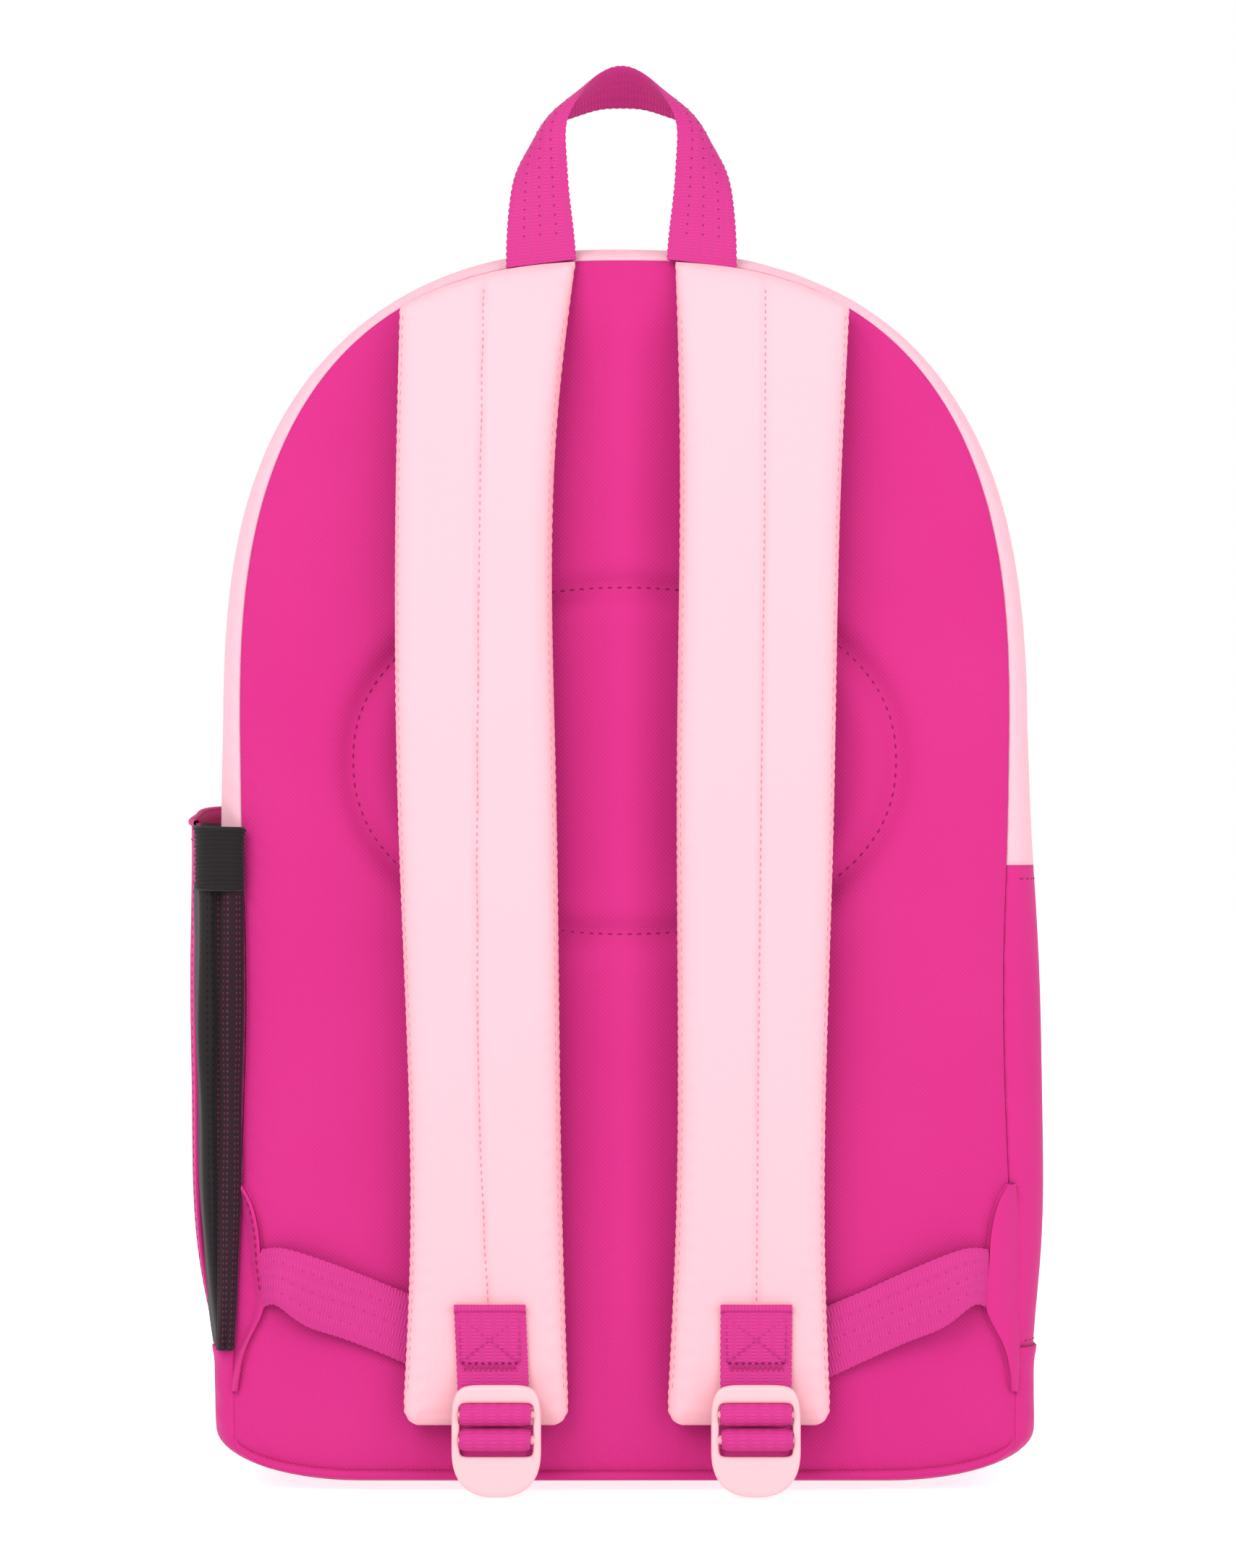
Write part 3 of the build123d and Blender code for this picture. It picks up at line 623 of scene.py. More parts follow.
x, z = ring(np.linspace(0, 2 * pi, 400), QUILT_POWER)
oval = np.stack([QUILT_HALF * x, QUILT_Z + QUILT_RISE * z], 1)
stitch("back_quilting", thread_magenta, [on_back(oval)], "bag", "back_twill", pitch=3.4,
       thread=0.72)

inner = disc(full_line * [0.985, 0.99] + [0, 3], EDGE[::4])
wave = BACK + LINING_INNER + 0.5 * swell(lay(inner, 0), 60, 21)
sheet("back_lining_cloth", lay(inner, wave), lining_cloth, 0.6, "bag", "lining", "back_lining",
      joined=True, wrap=True, flip=True)


PIPING_HEART_LOW = 60           # piping is moved outwards from the middle line above this


def piping(name, line, grow, y, radius, coat, body, *nodes):
    """Round cord in the seam along an outline, moved outwards by grow."""
    out = unit(line - heart(line, PIPING_HEART_LOW))
    cord = tube(name, lay(line + out * grow, y), radius, coat, wrap=True)
    settle(cord, body, "binding", *nodes)


roll = 0.3 + 1.3 * ease((20 - seam_line[:, 1]) / 10)
piping("back_piping_cord", seam_line, (roll * 0.7 - 0.4)[:, None], BACK + 0.9 - roll * 0.6, roll,
       twill, "bag", "back_piping")

# ---------------------------------------------------------------- gusset, sides and base
REAR = REAR_SEAM + (ZIP_Y - 10 - REAR_SEAM) * (1 - np.cos(np.linspace(0, pi / 2, 46))) ** 0.9
FORE = np.concatenate([np.linspace(ZIP_Y + 10, FRONT - ROLL, 16),
                       FRONT - ROLL * np.cos(np.linspace(0.12, pi / 2, 16))])
WHOLE = np.concatenate([REAR, np.linspace(ZIP_Y - 9, ZIP_Y + 9, 10), FORE])
FOLD = ("bag", "front_flap", (0, 8, 356), (0, 25.97, 383.68))
CLOTH = 1.2                     # depth of the bag's skin
LIGHT_LINED = [light_cloth, lining_cloth]
SHELL_LINED = [shell_cloth, lining_cloth]

CROWN = slice(GUSSET_RIGHT, GUSSET_LEFT + 1)
rear_skin = shell(REAR)
sheet("gusset_rear_cloth", rear_skin[:, CROWN], LIGHT_LINED, CLOTH, "bag", "light_cloth",
      "gusset_rear")
fore_skin = shell(FORE)
sheet("gusset_front_cloth", fore_skin[:, CROWN], LIGHT_LINED, CLOTH, FOLD, "light_cloth",
      "gusset_front_left", "gusset_front_right", "gusset_front_upper")

whole_skin = shell(WHOLE)
for side, first, last in (("right", BASE_RIGHT, GUSSET_RIGHT), ("left", GUSSET_LEFT, BASE_LEFT)):
    sheet(f"side_cloth_{side}", whole_skin[:, first:last + 1], SHELL_LINED, CLOTH, "bag",
          "magenta_cloth", f"side_panel_{side}")

around = np.arange(BASE_LEFT, STATIONS + BASE_RIGHT + 1) % STATIONS
base_skin = whole_skin[:, around]
base_out = grid_normals(base_skin)
seam_lip = hump(base_skin[..., 2] - BASE_RISE, 3.5) * 0.7
base_skin = base_skin + base_out * (0.5 + seam_lip)[..., None]
base_skin[..., 2] = np.maximum(base_skin[..., 2], 0.2)
sheet("base_cloth", base_skin, SHELL_LINED, CLOTH, "bag", "magenta_cloth", "base_panel",
      "base_board")


# ---------------------------------------------------------------- more materials
strap_cloth = fabric("strap_cloth", STRAP, [(0.0006, 0), (0.0006, 90)], depth=0.00005, shade=0.04,
                     blotch=0.04, place="Object")
strap_mesh = fabric("strap_mesh", linear(214, 166, 180), [(0.0022, 60), (0.0022, -60)],
                    depth=0.0004, shade=0.3, place="Object")
webbing_coat = fabric("webbing", WEB, [(0.0012, 0), (0.0045, 90)], depth=0.00035, shade=0.36,
                      strength=0.7, rough=0.6, sheen=0.06, warp=0.15)
thread_web = fabric("thread_webbing", linear(182, 38, 117), [(0.0004, 45)], place="Object")
elastic_coat = fabric("elastic", linear(32, 26, 28), [(0.0007, 0), (0.0015, 90)], depth=0.0002,
                      shade=0.5)
tape_coat = fabric("zip_tape", linear(184, 32, 106), [(0.0008, 0), (0.0006, 90)], depth=0.00015)


def pierced(name, colour, shaded_behind, pitch, row):
    """Dark knit with columns of paired holes, painted in the colour of the shaded cloth behind
    them: painted shade.
    """
    coat = fabric(name, colour, [(0.0008, 30), (0.0008, -30)], depth=0.0001, shade=0.5)
    tree = coat.node_tree
    skin = tree.nodes["Principled BSDF"]
    where = add(tree, "TexCoord", {}).outputs["UV"]
    holes = combine(tree, "MULTIPLY", bands(tree, where, pitch, 0), bands(tree, where, row, 90))
    column = bands(tree, where, 3.4 * pitch, 0)
    holes = combine(tree, "MULTIPLY", holes, combine(tree, "GREATER_THAN", column, 0.42))
    open_ = combine(tree, "GREATER_THAN", holes, 0.62)
    old = skin.inputs["Base Color"].links[0].from_socket
    # painted shade: the holes are tinted with the dark colour of the shaded cloth inside the pocket
    tint = add(tree, "MixRGB", {"Fac": open_, "Color1": old, "Color2": shaded_behind})
    feed(tree, skin, {"Base Color": tint.outputs[0]})
    return coat


# hole colours are painted shade: near black on the front fold, darkened magenta on the sheer part
mesh_coat = pierced("pocket_mesh", linear(30, 23, 26), linear(2, 1, 2), 0.0015, 0.0026)
sheer_coat = pierced("pocket_mesh_sheer", linear(38, 17, 28), linear(96, 26, 60), 0.0013, 0.0021)


def plastic(name, colour, rough=0.38, grain=0.00003):
    """Moulded satin plastic with fine grain and slightly polished wear."""
    coat, tree, skin = blank(name)
    where = add(tree, "TexCoord", {}).outputs["Object"]
    fine = add(tree, "TexNoise", {"Vector": where, "Scale": 1800.0}).outputs["Fac"]
    broad = add(tree, "TexNoise", {"Vector": where, "Scale": 60.0, "Detail": 3.0}).outputs["Fac"]
    deep = [c * 0.86 for c in colour[:3]] + [1]
    tint = add(tree, "MixRGB", {"Fac": combine(tree, "MULTIPLY", broad, 0.3), "Color1": colour,
                                "Color2": deep})
    worn = add(tree, "MapRange", {"Value": broad, "To Min": rough - 0.08, "To Max": rough + 0.1})
    lift = add(tree, "Bump", {"Height": fine, "Strength": 0.4, "Distance": grain})
    feed(tree, skin, {"Base Color": tint.outputs[0], "Roughness": worn.outputs[0],
                      "Normal": lift.outputs[0], "Subsurface Weight": 0.08,
                      "Subsurface Radius": (0.004, 0.002, 0.002)})
    return coat


lock_coat = plastic("lock_plastic", linear(232, 168, 174))
teeth_coat = plastic("zip_teeth", linear(206, 34, 118), 0.45)
enamel = plastic("zip_enamel", linear(228, 166, 182), 0.28)

# ---------------------------------------------------------------- front panel and its piping
front_flat = disc(front_line, EDGE)
front_away = np.maximum(off_seam(front_flat, front_line), 0)
spread = lay(front_flat, 0)
dome = 4.6 * (1 - np.exp(-front_away / 16)) + 0.7 * swell(spread, 90, 31) * ease(front_away / 30)
dome += 0.15 * np.sin(front_flat[..., 1] * 0.7 + front_flat[..., 0] * 0.8) * hump(front_away - 5, 5)
sheet("front_cloth", lay(front_flat, FRONT - 0.4 + dome), SHELL_LINED, 1.0, FOLD,
      "magenta_cloth", "front_panel_lower", "front_panel_upper", "front_fold", joined=True,
      wrap=True, flip=True)
piping("front_piping_cord", front_line, 0.5, FRONT + 0.4, 1.5, shell_cloth, FOLD)

# ---------------------------------------------------------------- main zip
TEETH = 1.35                    # from tooth to tooth
track = zip_line[CROWN]
track_out = unit(xyz(np.gradient(track[:, 1]), 0, -np.gradient(track[:, 0])))
walked = lengths(track)
for half, body, low, high, tooth_y, nodes in (
        ("rear", "bag", ZIP_Y - 16, ZIP_Y - 0.15, ZIP_Y - 2,
         ("main_zip_tape_rear", "main_zip_teeth_rear", "zip_side_left", "zip_side_right")),
        ("front", FOLD, ZIP_Y + 0.15, ZIP_Y + 16, ZIP_Y + 2,
         ("main_zip_tape_front", "main_zip_teeth_front", "zip_fold_left", "zip_fold_right"))):
    rows = [lay(track, y) - track_out * 0.1 for y in np.linspace(low, high, 8)]
    sheet(f"zip_tape_{half}_cloth", rows, tape_coat, 0.8, body, "zip_tape", *nodes)
    at = np.arange(3, walked[-1] - 3, TEETH) + (0.5 * TEETH if half == "front" else 0)
    origin = xyz(np.interp(at, walked, track[:, 0]), tooth_y, np.interp(at, walked, track[:, 1]))
    up = np.stack([np.interp(at, walked, track_out[:, k]) for k in range(3)], 1)
    teeth = strew(f"zip_coil_{half}", teeth_coat, capsule(3.4, 1.0, 1.7),
                  origin + up * 0.75, facing(len(at), 1.0), up)
    settle(teeth, body, "zip_teeth")

for name, coat, width in ([(f"main_slider_{s}", enamel, 0.5) for s in ("left", "right")]
                          + [(f"main_pull_{s}", enamel, 0.35) for s in ("left", "right")]
                          + [("front_slider", enamel, 0.5), ("front_pull", enamel, 0.35)]
                          + [(f"zip_end_tab_{s}", webbing_coat, 0.8) for s in ("left", "right")]):
    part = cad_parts[name]
    part.data.materials.clear()
    part.data.materials.append(coat)
    edges = part.modifiers.new("worn_edges", "BEVEL")
    edges.width = width * MM
    edges.segments = 3
    edges.limit_method = "ANGLE"

# topstitching beside the zip and under the gusset's seams
lines = []
for skin_rows, y in ((rear_skin, ZIP_Y - 13), (fore_skin, ZIP_Y + 13)):
    row = np.argmin(np.abs(skin_rows[:, 0, 1] - y))
    out = grid_normals(skin_rows, wrap=True)
    lines.append((skin_rows[row, CROWN], out[row, CROWN]))
stitch("gusset_topstitch_rear", thread_light, lines[:1], "bag", "light_cloth")
stitch("gusset_topstitch_front", thread_light, lines[1:], FOLD, "light_cloth")
out = grid_normals(whole_skin, wrap=True)
for side, stations in (("right", (GUSSET_RIGHT - 2, BASE_RIGHT + 1)),
                       ("left", (GUSSET_LEFT + 2, BASE_LEFT - 1))):
    lines = [(whole_skin[4:-4, k], out[4:-4, k]) for k in stations]
    stitch(f"side_topstitch_{side}", thread_magenta, lines, "bag", "magenta_cloth")

# ---------------------------------------------------------------- inner sleeve
sleeve_low, sleeve_high = (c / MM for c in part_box("inner_sleeve"))
x = np.linspace(sleeve_low.x, sleeve_high.x, 60)
z = np.linspace(sleeve_low.z, sleeve_high.z, 50)
gx, gz = np.meshgrid(x, z)
sag = 0.9 * swell(xyz(gx, 0, gz), 80, 41) * ease((sleeve_high.z - gz) / 30)
sheet("sleeve_cloth", xyz(gx, sleeve_high.y + sag, gz), lining_cloth, 0.8, "bag", "lining",
      "inner_sleeve", flip=True)
band_low, band_high = (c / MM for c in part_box("sleeve_binding"))
x = np.linspace(band_low.x, band_high.x, 80)
level = (band_low.y + band_high.y) / 2
band = ribbon("sleeve_binding_tape", xyz(x, level, band_low.z), xyz(x, level, band_high.z), 2.6,
              webbing_coat)
settle(band, "bag", "binding", "sleeve_binding")

# ---------------------------------------------------------------- front pocket
pocket_low, pocket_high = (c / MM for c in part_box("front_pocket_shell"))
POCKET_HALF = pocket_high.x
POCKET_MID = (pocket_low.z + pocket_high.z) / 2
POCKET_RISE = (pocket_high.z - pocket_low.z) / 2
POCKET_POWER = 4.2
POCKET_ROUND = 9                # radius of the pocket's front edge
ZIP_Z = (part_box("front_zip_upper")[0].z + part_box("front_zip_lower")[1].z) / 2 / MM
ZIP_HALF = 88
x, z = ring(np.linspace(0, 2 * pi, 321)[:-1], POCKET_POWER)
rim = np.stack([POCKET_HALF * x, POCKET_MID + POCKET_RISE * z], 1)
zip_middle = np.stack([np.clip(rim[:, 0], -ZIP_HALF, ZIP_HALF), np.full(len(rim), ZIP_Z)], 1)
slot_rim = zip_middle + unit(rim - zip_middle) * 5.2
rows = []
for share in np.concatenate([[0, 0], np.linspace(0, 1, 44)]):
    flat = slot_rim + (rim - slot_rim) * share
    inset = np.linalg.norm(rim - flat, axis=1)
    round_over = 1 - np.clip(inset / POCKET_ROUND, 0, 1)
    y = pocket_high.y - POCKET_ROUND * (1 - np.sqrt(1 - round_over ** 2))
    spot = lay(flat, 0)
    belly = ease(inset / 60) * ease((ZIP_Z - 12 - flat[:, 1]) / 40)
    y = y + belly * (2.6 + 0.8 * swell(spot, 60, 51)) + 0.3 * swell(spot, 40, 52) * ease(inset / 20)
    rows.append(lay(flat, y))
rows[0] = rows[0] - [0, 1.6, 0]
side_out = unit(np.stack([rim[:, 0] / POCKET_HALF, (rim[:, 1] - POCKET_MID) / POCKET_RISE], 1))
wall_top = pocket_high.y - POCKET_ROUND
for y in np.linspace(wall_top, FRONT + 0.6, 10)[1:]:
    puff = 0.7 * sin(pi * (wall_top - y) / (wall_top - FRONT))
    rows.append(lay(rim + side_out * puff, y))
rows = np.array(rows)
sheet("front_pocket_cloth", rows, LIGHT_LINED, 1.0, "bag", "pocket_cloth",
      "front_pocket_shell", wrap=True, flip=True)
settle(tube("front_pocket_piping", lay(rim + side_out * 0.9, FRONT + 2.4), 1.4, shell_cloth,
            wrap=True), "bag", "binding")
lip = np.concatenate([rows[4], rows[4][:1]])
stitch("front_pocket_topstitch", thread_light, [(lip, facing(len(lip), 1.0))], "bag",
       "pocket_cloth")

tape_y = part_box("front_slider")[0].y / MM + 2.7
for name, sign in (("upper", 1), ("lower", -1)):
    x = np.linspace(-ZIP_HALF - 4, ZIP_HALF + 4, 90)
    near = xyz(x, tape_y - 1, ZIP_Z + sign * 0.2)
    far = near + [0, 0, sign * 9]
    tape = ribbon(f"front_zip_tape_{name}", near, far, 0.9, tape_coat, turned=sign > 0)
    settle(tape, "bag", "zip_tape", f"front_zip_{name}")
    at = np.arange(-ZIP_HALF + 1, ZIP_HALF - 1, TEETH) + (0.5 * TEETH if sign > 0 else 0)
    teeth = strew(f"front_zip_coil_{name}", teeth_coat, capsule(3.0, 1.0, 1.5),
                  xyz(at, tape_y + 0.7, ZIP_Z + sign * 2.3), facing(len(at), 0.0, 1.0),
                  facing(len(at), 1.0))
    settle(teeth, "bag", "zip_teeth")

# ---------------------------------------------------------------- bottle pocket
ELASTIC_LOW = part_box("bottle_pocket_elastic")[0].z / MM
ELASTIC_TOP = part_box("bottle_pocket_elastic")[1].z / MM
BOTTLE_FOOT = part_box("bottle_pocket_panel")[0].z / MM
# the mesh folds forward from the back seam; plans (x, y) at the base and under the elastic
mesh_foot = [(-136.8, -73.2), (-137.6, -75), (-138.6, -75.4), (-139.4, -74), (-140.6, -75.2),
             (-142.2, -74), (-143, -69), (-144.2, -56), (-145.6, -44)]
mesh_head = [(-133, -74.2), (-135.6, -76.8), (-139.6, -77), (-142.2, -73.4), (-144.4, -76.6),
             (-148, -75.4), (-149.6, -69), (-151, -56), (-152.6, -44)]
low, high = through(mesh_foot, 70), through(mesh_head, 70)
heights = np.linspace(BOTTLE_FOOT - 1, ELASTIC_LOW + 1, 60)
grow = spline([49, 66, 91, 130, 180, 213], [0, 0.34, 0.62, 0.86, 0.98, 1], heights)[:, 0]
rows = np.array([np.column_stack([low + (high - low) * g, np.full(70, z)])
                 for g, z in zip(grow, heights)])
rows = rows + grid_normals(rows) * 0.35 * swell(rows, 40, 61)[..., None]
fold_at = 17
sheet("bottle_mesh_rear", rows[:, :fold_at + 1], sheer_coat, 0.5, "bag", "pocket_mesh",
      "bottle_pocket_mesh")
sheet("bottle_mesh_front", rows[:, fold_at:], mesh_coat, 0.5, "bag", "pocket_mesh")

panel_foot = [(-145.2, -45.5), (-146.4, -30), (-146.8, 0), (-146.4, 36), (-144, 53)]
panel_head = [(-152.4, -46.5), (-154.4, -38), (-155, 0), (-153.4, 36), (-146.6, 53)]
low, high = through(panel_foot, 60), through(panel_head, 60)
shares = np.linspace(0, 1, 60)
rows = []
for share in shares:
    g = spline([0, 0.1, 0.3, 0.6, 1], [0, 0.45, 0.85, 1.0, 0.93], [share])[0, 0]
    top = 233.5 + 4.5 * ease(np.linspace(0, 1, 60))
    z = BOTTLE_FOOT - 1 + (top - BOTTLE_FOOT + 1) * share
    rows.append(np.column_stack([low + (high - low) * g, z]))
rows = np.array(rows)
rows = rows + grid_normals(rows) * 0.5 * swell(rows, 60, 62)[..., None]
sheet("bottle_panel_cloth", rows, shell_cloth, 1.4, "bag", "magenta_cloth",
      "bottle_pocket_panel")
settle(tube("bottle_panel_hem", rows[-1], 1.2, shell_cloth), "bag", "magenta_cloth")
out = grid_normals(rows)
stitch("bottle_panel_topstitch", thread_magenta,
       [(rows[-3], out[-3]), (rows[:, 3], out[:, 3])], "bag", "magenta_cloth")

elastic_plan = [(-132.6, -73.8), (-133.2, -77.2), (-136, -79.4), (-141, -79.8), (-146.4, -78.6),
                (-149.8, -75), (-150.6, -66), (-151.6, -54), (-152.6, -40), (-153.2, 0),
                (-151.6, 36), (-146, 52)]
plan = through(elastic_plan, 150)
ribs = 13
heights = np.linspace(0, 1, ribs * 6 + 1)
rows = []
for share in heights:
    proud = 0.5 * abs(sin(pi * share * ribs)) - 0.6 * hump((share - 0.5) * 2 - 1.05, 0.2)
    z = ELASTIC_LOW + (ELASTIC_TOP - ELASTIC_LOW) * share
    outward = np.column_stack([-np.gradient(plan[:, 1]), np.gradient(plan[:, 0])])
    moved = plan - unit(outward) * proud
    tilt = 0.9 * np.sin(np.linspace(0, 3, 150))
    rows.append(np.column_stack([moved, z + tilt * (0.3 + share)]))
sheet("bottle_elastic_band", rows, elastic_coat, 1.6, "bag", "elastic",
      "bottle_pocket_elastic")

# ---------------------------------------------------------------- shoulder straps
STRAP_BACK = [(431, -73.8), (410, -77.8), (365, -80.4), (285, -81), (190, -80.4), (105, -79.6),
              (60, -79.5), (22, -79.5)]
STRAP_DEPTH = [(431, 5), (410, 10), (365, 13), (285, 13), (190, 13), (105, 12), (60, 9), (22, 6.8)]
STRAP_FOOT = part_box("strap_face_left")[0].z / MM
FOOT_CORNER = 6
STRAP_EDGES = {
    "left": ([(413, -78.5), (350, -79.8), (230, -78.8), (80, -75), (34, -77)],
             [(428.8, -17), (372, -23.4), (250, -23.8), (90, -21.4), (34, -19.6)],
             [(425, -48.9), (230, -51.1), (100, -49.1), (64, -47.3)]),
    "right": ([(413, 78.5), (350, 75.4), (230, 72.8), (80, 70), (34, 71.6)],
              [(428.8, 17.6), (372, 19), (250, 18), (90, 17.6), (34, 15)],
              [(425, 49.1), (230, 47.3), (100, 46), (64, 45.8)]),
}


def table(pairs, at):
    """Smooth value at each height from (height, value) pairs."""
    pairs = sorted(pairs)
    flat = np.asarray(at, float).ravel()
    flat = np.clip(flat, pairs[0][0], pairs[-1][0])
    return spline([k for k, _ in pairs], [v for _, v in pairs], flat)[:, 0].reshape(np.shape(at))


def rounded(value):
    """Quarter round from 0 to 1."""
    return np.sqrt(1 - (1 - np.clip(value, 0, 1)) ** 2)


def strap(side, sign):
    """Padded strap as one closed form, with the stitches of its middle seam and its edges."""
    outer, inner, middle = STRAP_EDGES[side]
    run = 1 - (1 - np.linspace(0, 1, 300)) ** 1.35
    face_share = (1 - np.cos(np.linspace(0, pi, 74))) / 2
    back_share = (1 - np.cos(np.linspace(pi, 0, 30)[1:-1])) / 2
    share = np.concatenate([face_share, back_share])[:, None]
    is_face = (np.arange(len(share)) < len(face_share))[:, None]
    z_out = outer[0][0] + (STRAP_FOOT - outer[0][0]) * run
    z_in = inner[0][0] + (STRAP_FOOT - inner[0][0]) * run
    x_out, x_in = table(outer, z_out), table(inner, z_in)
    z = z_out * (1 - share) + z_in * share
    top_x = x_out[0] + (x_in[0] - x_out[0]) * share
    top = SPRING + (SEAM_TOP - 0.4 - SPRING) * (
        1 - (np.abs(top_x) / SEAM_HALF) ** SEAM_POWER) ** (1 / SEAM_POWER)
    straight = outer[0][0] * (1 - share) + inner[0][0] * share
    z = z + (top - straight) * (1 - run) ** 3
    corner = np.clip((STRAP_FOOT + FOOT_CORNER - z) / FOOT_CORNER, 0, 1)
    inset = FOOT_CORNER * (1 - np.sqrt(1 - corner ** 2))
    width = np.abs(x_in - x_out) - 2 * inset
    x = x_out - sign * inset + (x_in - x_out + 2 * sign * inset) * share
    edge = width * np.minimum(share, 1 - share)
    foot = z - STRAP_FOOT
    head = top - z
    off = np.minimum(np.minimum(edge, foot), head * 1.4 + 0.6)
    depth = table(STRAP_DEPTH, z)
    back = table(STRAP_BACK, z)
    seam_y = back - 0.15 * depth
    spot = xyz(x, 0, z)
    crown = 0.30 * depth * rounded(off / 1.6) + 0.55 * depth * rounded(off / 9)
    crown += 0.25 * swell(spot, 45, 71) * ease(off / 12) - 0.3 * hump(off - 1.5, 0.7)
    across = x - table(middle, z)
    crown -= (z > 66) * (1.1 * hump(across, 1.0) + 0.5 * hump(across, 5))
    crown += 0.16 * np.sin(z * 2 * pi / 7 + 2 * swell(spot, 30, 72)) * hump(off - 4.5, 3)
    under = 0.15 * depth * rounded(off / 3)
    y = np.where(is_face, seam_y - crown, seam_y + under)
    y[:, 0] = seam_y[:, 0]
    x = x - np.sign(x_in - x_out) * np.sign(share - 0.5) * 0.3 * hump(off, 1.2) * (
        0.5 + 0.5 * np.sin(z * 2 * pi / 3.3))
    rows = np.stack([x, y, z], -1)
    pad = surface(f"strap_pad_{side}", rows, [strap_cloth, strap_mesh], closed=True,
                  flip=sign < 0)
    columns = rows.shape[1] - 1
    kinds = np.where(np.arange(len(pad.data.polygons)) // columns < len(face_share) - 1, 0, 1)
    pad.data.polygons.foreach_set("material_index", kinds.astype(np.int32))
    settle(pad, f"strap_{side}", "strap_cloth", f"strap_face_{side}", f"strap_foam_{side}",
           f"strap_lining_{side}")
    face = rows[:len(face_share)]
    normals = grid_normals(face) * (1 if sign > 0 else -1)

    def along(target):
        """Line on the strap's face at a given x for each column."""
        points, out = [], []
        for k in range(face.shape[1]):
            order = np.argsort(face[:, k, 0])
            xs = face[order, k, 0]
            points.append([np.interp(target[k], xs, face[order, k, c]) for c in range(3)])
            out.append([np.interp(target[k], xs, normals[order, k, c]) for c in range(3)])
        return np.array(points), np.array(out)

    mid_z = z[len(face_share) // 2]
    keep = (mid_z > 65) & (mid_z < 421)
    centre = along(table(middle, mid_z))
    lines = [(centre[0][keep], centre[1][keep])]
    stitch(f"strap_seam_{side}", thread_light, lines, f"strap_{side}", "strap_cloth", pitch=2.6,
           thread=0.42)
    lines = []
    for first, inward in ((x_out - sign * inset[0], -sign), (x_in + sign * inset[0], sign)):
        points, out = along(first + inward * 1.5)
        keep = (points[:, 2] > STRAP_FOOT + 12) & (points[:, 2] < 411)
        lines.append((points[keep], out[keep]))
    stitch(f"strap_edge_stitch_{side}", thread_light, lines, f"strap_{side}", "strap_cloth",
           pitch=3.3, thread=0.36)


for side, sign in (("left", -1), ("right", 1)):
    strap(side, sign)

# ---------------------------------------------------------------- ladder locks and their webbing
WEB_HALF = 12.4
BAR_Z = 29.3
LOWER_BAR_Z = 20.5
LOCK_Y = -95
WEB_DEPTH = 1.4
FIRM_DEPTH = 1.5                # webbing of the patches and the grab handle
HUG = 3.3                       # webbing's middle line round a bar


def round_bar(height, start, end, count=16):
    """Arc of (y, z) round a lock's bar, angles in degrees from +Y."""
    turn = np.radians(np.linspace(start, end, count))
    return [(LOCK_Y + HUG * cos(t), height + HUG * sin(t)) for t in turn]


def flat_strip(name, path, middle, half, depth, coat, count=90, turned=False, drift=(0, 0)):
    """Webbing that runs along a path of (y, z), straight across in x."""
    line = through(path, count)
    shift = middle + np.linspace(drift[0], drift[1], count)
    near = np.column_stack([shift - half, line])
    far = np.column_stack([shift + half, line])
    return ribbon(name, near, far, depth, coat, turned=turned, scallop=0.12)


def lock(side, middle):
    """Ladder lock: a frame round its window, square above and round below, and two bars."""
    turn = np.linspace(0, 2 * pi, 121)[:-1]
    above = np.sin(turn) > 0
    x, z = ring(turn, np.where(above, 5.5, 2.5))
    outer = np.stack([15.5 * x, 17.5 + np.where(above, 22, 16.8) * z], 1)
    x, z = ring(turn, 12.5)
    window = np.stack([12.75 * x, 23.9 + 9.3 * z], 1)
    rows = []
    for t in np.linspace(0, 2 * pi, 29)[:-1]:
        share = 0.5 + 0.5 * np.sign(cos(t)) * abs(cos(t)) ** 0.55
        rise = np.sign(sin(t)) * abs(sin(t)) ** 0.7
        flat = window + (outer - window) * share
        tab = ease((15 - flat[:, 1]) / 14)
        y = LOCK_Y - 1.75 * rise - 0.9 * tab ** 2
        if rise > 0:
            y = y + 0.7 * hump(flat[:, 1] - 10, 4) * (1 - np.abs(flat[:, 0]) / 16)
        rows.append(np.column_stack([middle + flat[:, 0], y, flat[:, 1]]))
    body = surface(f"ladder_lock_frame_{side}", np.array(rows), lock_coat, wrap=True, closed=True)
    settle(body, f"lock_{side}", "lock_plastic", f"ladder_lock_{side}")
    for name, height in (("upper", BAR_Z), ("lower", LOWER_BAR_Z)):
        x = np.linspace(middle - 13.4, middle + 13.4, 12)
        bar = tube(f"lock_bar_{name}_{side}", xyz(x, LOCK_Y, height), 1.7, lock_coat)
        settle(bar, f"lock_{side}", "lock_plastic")


